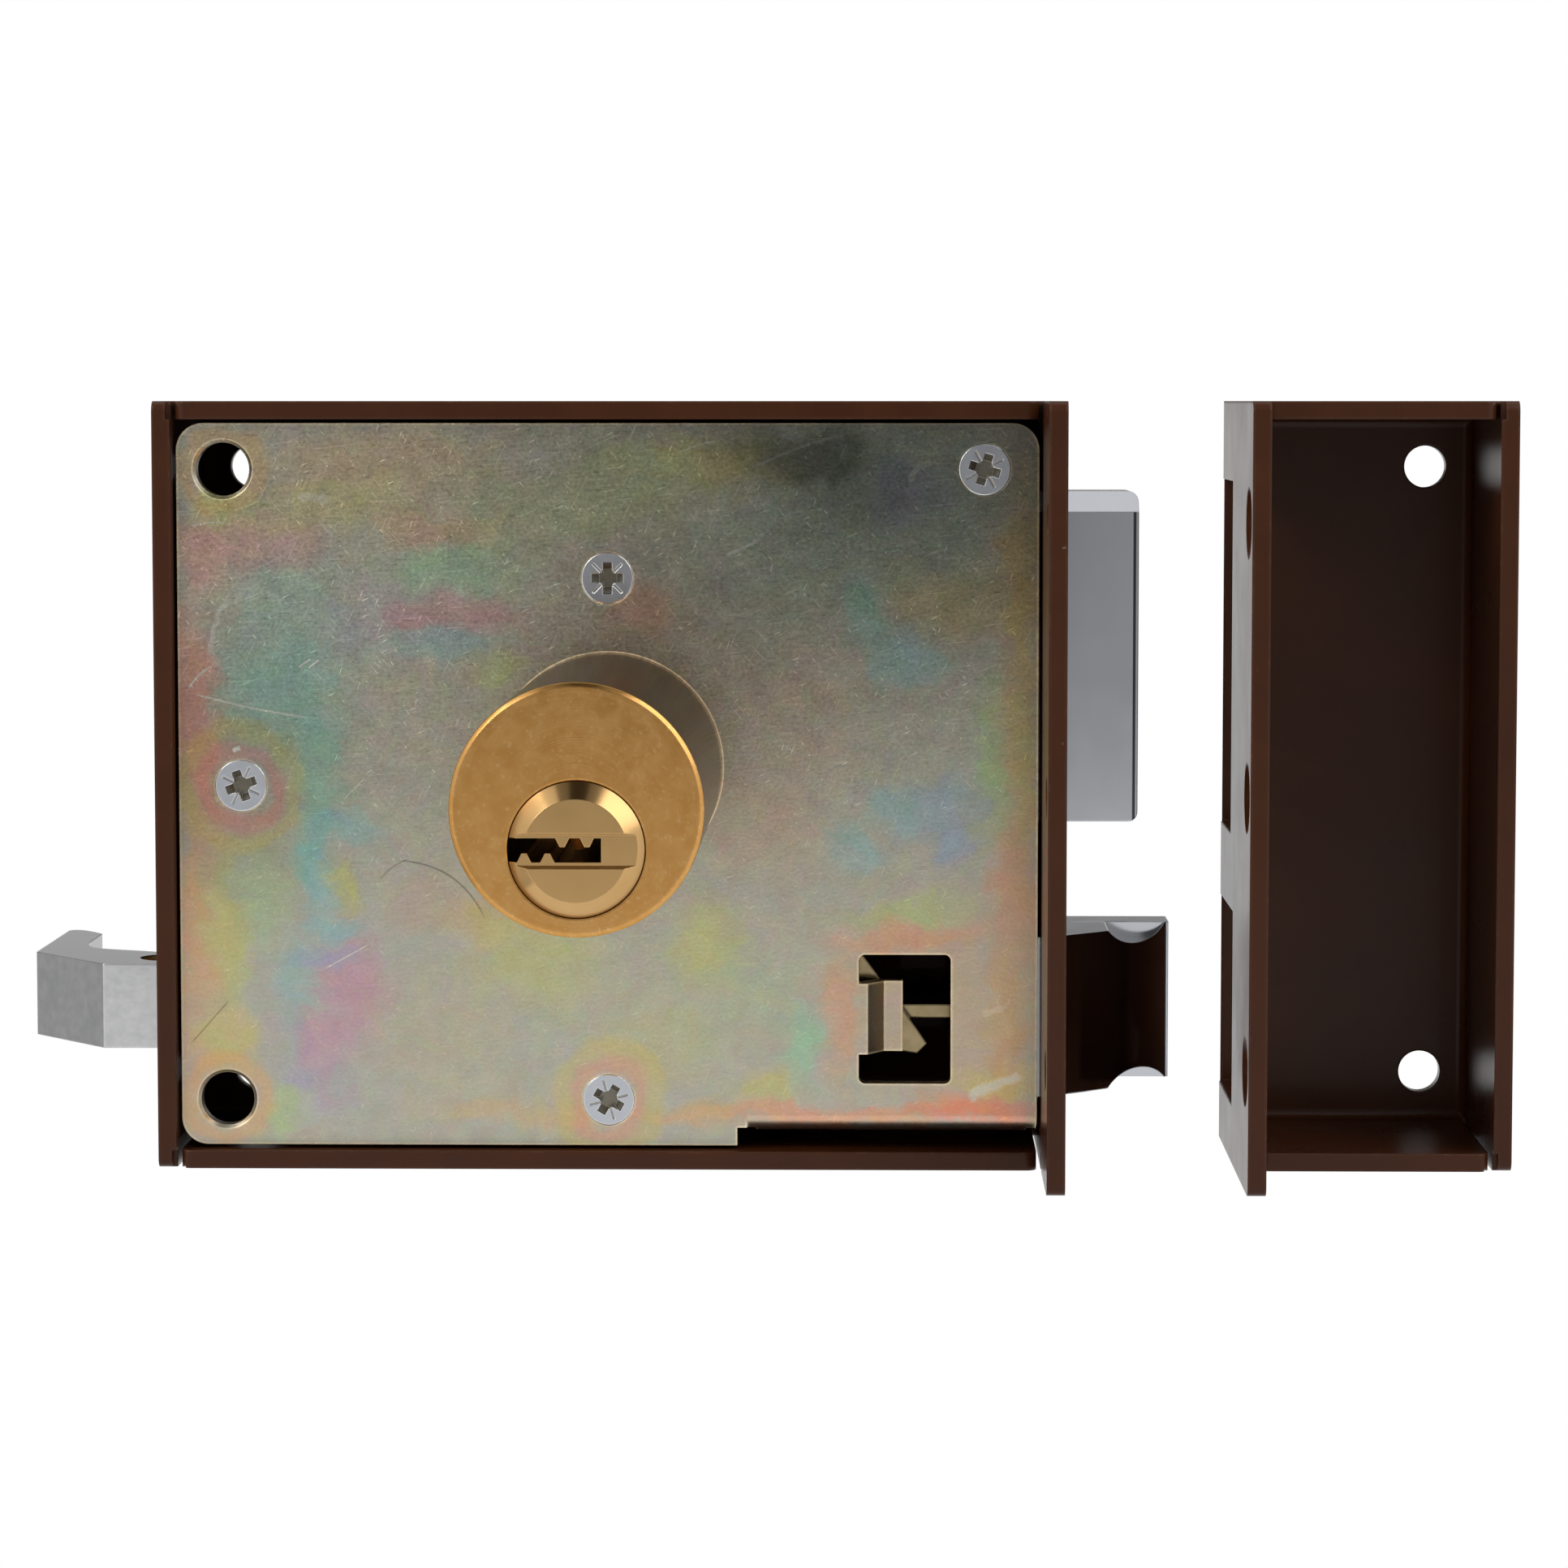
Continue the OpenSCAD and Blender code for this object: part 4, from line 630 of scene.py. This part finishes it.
# Hair lines: direction in degrees, length in mm
HAIRS = [(22, 4), (-48, 3), (64, 4), (5, 6)]
HAIR_WIDE = 0.16
# How much lighter the nicks and hair lines are, and how much darker the dull ones
NICK_LIGHT = 1.3
HAIR_LIGHT = 0.46
DULL_DARK = 0.26
# A scrape of more than this half width has a rough outline
ROUGH_FROM = 0.25
# The lower part is cleaner: a quarter of the marks at the bottom, all of them at the top
handled = 0.25 + 0.75 * plate.smooth(height, -25, 25)
marks = 0.0
for row in NICKS:
    marks = plate.math("MAXIMUM", marks, plate.nicks(flat, *row))
mesh = 0.0
for turn, long in HAIRS:
    lines = plate.hairs(flat, turn, long, HAIR_WIDE, low=0.62, high=0.74)
    mesh = plate.math("MAXIMUM", mesh, lines)
dull = plate.hairs(flat, turn=3, long=1.2, wide=0.25, low=0.58, high=0.72)
tone = handled * (NICK_LIGHT * marks + HAIR_LIGHT * mesh - DULL_DARK * dull)
rough = plate.stir(flat, 1.4, 0.9)
bare = 0.0
for x0, z0, x1, z1, bow, half, change in SCRAPES:
    ground = rough if half > ROUGH_FROM else flat
    scrape = change * plate.stroke(ground, (x0, z0), (x1, z1), bow, half)
    tone = tone + scrape
    bare = bare + scrape
tint = plate.mix(plate.smooth(bare, 0.0, 0.5), tint, hue(178, 178, 168))
print(len(SCRAPES), "scrapes,", len(NICKS), "sets of nicks and", len(HAIRS), "of hair lines")

# %% [markdown]
# The last layer is the metal itself. Its lightness is uneven, and it falls off towards the top: that
# is painted shade for the dark room and camera that the plate mirrors there, and partly the zinc's
# own tone. Spots of painted shade shape the dark top right and darken the left. Along the plate's
# edges and round the cylinder's hole a highlight is painted where the cut would glint. That painted
# highlight is made less of a mirror, so that it stays light whatever it faces.

# %% Rainbow plate: metal
# Painted shade: centre X and Z in mm, half width and half height, and how much darker (or lighter) it is
PAINTED_SHADE_SPOTS = [
    (32, 36, 34, 34, 0.50),
    (-44, 0, 18, 18, 0.20),
    (23, 35, 9, 3.5, 0.50),
    (29, 30.5, 11, 4, 0.22),
    (10, 32, 9, 6, -0.22),
    (14, 27, 6, 4, -0.15),
]
ZINC_LEVEL = 0.50
# Painted shade, partly the zinc's own tone: how much darker the upper half and the top right are
UPPER_SHADE_AND_TONE = 0.19
TOP_SHADE_AND_TONE = 0.22
# Radius of the hole round the cylinder in mm, and the strength of the painted highlight on the edges
HOLE_RADIUS = 12.8
HOLE_HIGHLIGHT = 0.6
EDGE_HIGHLIGHT = 1.8
grain = plate.noise(flat, 0.4, detail=4)
rolled = plate.hairs(flat, turn=0, long=2, wide=0.3, low=0.2, high=0.8)
mottle = plate.noise(plate.stir(flat, 4, 3), 3, detail=5)
uneven = 0.66 * grain + 0.46 * mottle + 0.08 * rolled - 0.60
level = ZINC_LEVEL * (0.90 + uneven * (0.10 + handled))
# Painted shade for the dark room and camera mirrored above, partly the plating's own darker tone
upper = plate.smooth(height, -22, 6)
top = plate.smooth(height, 12, 36) * plate.smooth(across, -28, -6)
level = level * (1 - UPPER_SHADE_AND_TONE * upper) * (1 - TOP_SHADE_AND_TONE * top)
# Spots of painted shade darken the top right and the left; a few lighter ones shape them
for x, z, half_w, half_h, darker in PAINTED_SHADE_SPOTS:
    level = level * (1 - darker * plate.spot(stirred, x, z, half_w, half_h))
# Painted highlight along the plate's edges and round the cylinder's hole, where a cut edge glints
rim = plate.edges(radius_mm=0.6, low=0.75, high=0.99)
lip = plate.math("ABSOLUTE", plate.length(flat) - HOLE_RADIUS)
rim = plate.math("MAXIMUM", rim, HOLE_HIGHLIGHT * (1 - plate.smooth(lip, 0.03, 0.13)))
tint = plate.mix(0.6 * rim, tint, hue(204, 178, 130))
level = level * (1 + tone) * (1 + EDGE_HIGHLIGHT * rim * (0.4 + mottle))
plate.set(Base_Color=plate.vector("SCALE", tint, scale=level), Metallic=1 - 0.7 * rim)
plate.set(Roughness=0.28 + 0.16 * grain)
plate.soft_edges(radius_mm=0.18, height=grain, depth_mm=0.012)
print(plate.material.name, "with", len(plate.tree.nodes), "nodes and", len(PAINTED_SHADE_SPOTS), "painted_shade_spots")

# %% [markdown]
# ## Metals of the lock
# The other metals differ mainly in colour and polish. The cylinder is turned brass. Its face shows
# the tool's fine rings about the axis, so its bump follows the distance from that axis, and its
# side is smoother and mirrors the plate. Handling has left the face cloudy.

# %% Brass
# The face ends and the side begins between these distances from the axis, in mm
FACE_TO = 12.5
SIDE_FROM = 12.65
brass = Finish("turned_brass", Metallic=1.0, Specular_Tint=(0.40, 0.32, 0.20, 1))
place = brass.place_mm()
radius = brass.length(brass.vector("MULTIPLY", place, (1, 0, 1)))
rings = brass.noise(brass.add("CombineXYZ", None, {0: radius}), 0.25, detail=2)
cloud = brass.noise(brass.stir(place, 2, 2), 1.6, detail=5)
dust = brass.noise(place, 0.4, detail=3)
side = brass.smooth(radius, FACE_TO, SIDE_FROM)
colour = brass.mix(brass.smooth(cloud, 0.3, 0.7), rgb(202, 149, 82), rgb(211, 162, 97))
colour = brass.mix(0.25 * rings, colour, rgb(180, 128, 68))
colour = brass.mix(0.5 * brass.smooth(dust, 0.55, 0.8), colour, rgb(228, 190, 136))
brass.set(Base_Color=colour, Roughness=(0.17 + 0.14 * cloud) * (1 - 0.45 * side))
brass.soft_edges(radius_mm=0.30, height=rings, depth_mm=0.003)
pale = Finish("pale_brass", Metallic=1.0)
cloud = pale.noise(pale.place_mm(), 3, detail=3)
colour = pale.mix(cloud, rgb(190, 152, 98), rgb(204, 167, 114))
pale.set(Base_Color=colour, Roughness=0.15 + 0.07 * cloud)
pale.soft_edges(radius_mm=0.10)
print(brass.material.name, pale.material.name)

# %% [markdown]
# The plated metals share one recipe. Two of them have something of their own: the deadbolt has a
# thin dark line along its end, and the pull has painted shade on the faces that look to the lock,
# which lie in the shade of its grip.

# %% Dark line of the deadbolt and painted shade of the pull
# How far the line lies in from the bolt's end, and where it fades to each side, in mm
LINE_IN = 0.45
LINE_FADE = (0.10, 0.22)
# How far the bevel reaches down, and how softly the line begins below it, in mm
BEVEL_DOWN = 2.2
BEVEL_SOFT = 0.2


def end_line(metal, colour):
    """The thin dark line along the end of the deadbolt, below its bevel."""
    place = metal.place_mm()
    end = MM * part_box("deadbolt")[1]
    aside = metal.math("ABSOLUTE", metal.axis(place, "X") - (end.x - LINE_IN))
    line = 1 - metal.smooth(aside, *LINE_FADE)
    under = end.z - BEVEL_DOWN
    below = 1 - metal.smooth(metal.axis(place, "Z"), under - BEVEL_SOFT, under)
    return metal.mix(0.9 * below * line, colour, rgb(20, 20, 22))


def grip_shade(metal, colour):
    """The faces of the pull that look to the lock lie in the shade of the grip."""
    facing = metal.dot(metal.true_normal(), (1, 0, 0))
    return metal.mix(0.8 * metal.smooth(facing, 0.2, 0.9), colour, rgb(116, 116, 118))


print("two marks")

# %% Plated metals
NICKEL = {
    "dark": (186, 188, 193),
    "light": (194, 196, 201),
    "rough": 0.10,
    "edge_mm": 0.2,
    "lump_mm": 4.0,
    "depth_mm": 0.002,
}


def steel(name, dark, light, rough, edge_mm, lump_mm=2.5, depth_mm=0.003, line_or_shade=None):
    """A plain plated metal: two close colours, a roughness, a faint bump, perhaps a dark line or painted shade."""
    metal = Finish(name, Metallic=1.0)
    cloud = metal.noise(metal.place_mm(), lump_mm, detail=3)
    colour = metal.mix(cloud, rgb(*dark), rgb(*light))
    if line_or_shade is not None:
        colour = line_or_shade(metal, colour)
    metal.set(Base_Color=colour, Roughness=rough + 0.06 * cloud)
    metal.soft_edges(edge_mm, cloud, depth_mm)
    return metal


bright = steel("bright_zinc", (182, 186, 192), (200, 203, 208), rough=0.22, edge_mm=0.15)
# Near black: painted shade for the springs and the spring guide, which lie in the dark inside the case
spring = steel("spring_steel", (10, 10, 10), (18, 18, 18), rough=0.5, edge_mm=0.05)
nickel = steel("bolt_nickel", **NICKEL)
end_lined = steel("end_lined_nickel", **NICKEL, line_or_shade=end_line)
casting = steel(
    "cast_nickel",
    dark=(178, 179, 180),
    light=(214, 214, 213),
    rough=0.20,
    edge_mm=0.3,
    lump_mm=1.3,
    depth_mm=0.012,
    line_or_shade=grip_shade,
)
straw = steel(
    "straw_zinc",
    dark=(122, 106, 78),
    light=(166, 150, 116),
    rough=0.12,
    edge_mm=0.3,
    lump_mm=1.5,
    depth_mm=0.006,
)
print("six plated metals")

# %% [markdown]
# The cover screws are zinc-plated too, but their cross recess is seen from the front and lies in
# its own shade. A recess that deep mirrors its own dark walls many times over. The finish paints
# that shade directly: it darkens with the depth below the face of the head. It also has a painted
# highlight along the edges of the head and of the recess.

# %% Screws and pins
# Depth below the head's face at which the shade begins, and at which it is full, in mm
SHADE_DEPTH = (0.10, 0.55)
screw = Finish("screw_zinc")
place = screw.place_mm()
depth = screw.axis(place, "Y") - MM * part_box("cover_screws")[0].y
shade = screw.smooth(depth, *SHADE_DEPTH)
cloud = screw.noise(place, 1.5, detail=3)
colour = screw.mix(cloud, rgb(180, 184, 190), rgb(198, 201, 206))
colour = screw.mix(shade, colour, screw.mix(cloud, rgb(120, 115, 100), rgb(158, 152, 136)))
# Painted highlight along the edges of the head and of the cross recess
edge = screw.edges(radius_mm=0.20, low=0.78, high=0.97)
colour = screw.mix(edge, colour, rgb(246, 246, 242))
screw.set(Base_Color=colour, Roughness=0.22 + 0.06 * cloud, Metallic=1 - 0.65 * shade)
screw.soft_edges(radius_mm=0.12)
pin = Finish("pin_brass", Metallic=0.5)
pin.set(Base_Color=rgb(222, 150, 70), Roughness=0.3)
print(screw.material.name, pin.material.name)

# %% [markdown]
# ## The return spring
# When the latch is drawn in, its return spring is squeezed against a bracket. The CAD spring is
# one stiff solid, so at that pose the latch would run through it. A copy of the same coil stands
# in for it, tied to the case. The share of its length that would be left after the latch's
# travel is worked out and printed; the copy itself is not yet squeezed.

# %% Return spring
coil = bpy.data.objects.new("return_spring", nodes["latch_spring"].data.copy())
scene.collection.objects.link(coil)
coil.data.materials.clear()
coil.data.materials.append(spring.material)
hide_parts("latch_spring")
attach(coil, "lock_case")
latch_slide = next(joint for joint in frame["joints"] if joint["name"] == "latch_slide")
travel = max(abs(limit) for limit in latch_slide["range_m"])
seat, free_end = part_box("latch_spring")
squeezed = 1 - travel / (free_end.x - seat.x)
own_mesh(coil)
print("spring squeezed to", round(squeezed, 2), "of its length")

# %% [markdown]
# ## Handing the finishes out
# Every CAD piece names the material slot that it belongs to, and each slot has its finish. A few
# pieces have a finish of their own, which goes before that of their slot.

# %% Hand the finishes out
FINISHES = {
    "brown_paint": enamel,
    "yellow_zinc": straw,
    "bright_zinc": bright,
    "spring_steel": spring,
    "cylinder_brass": brass,
    "plug_brass": pale,
    "bolt_steel": nickel,
    "cast_nickel": casting,
}
OWN = {
    "cover_plate": plate,
    "cover_screws": screw,
    "deadbolt": end_lined,
    "key_pins": pin,
    "pull_pin": pin,
    "spring_guide": spring,
}
for row in frame["record"]["subparts"]:
    piece = nodes[row["node"]]
    finish = OWN.get(row["node"], FINISHES[row["material_slot"]])
    piece.data.materials.clear()
    piece.data.materials.append(finish.material)
print("finishes on", len(nodes), "pieces")
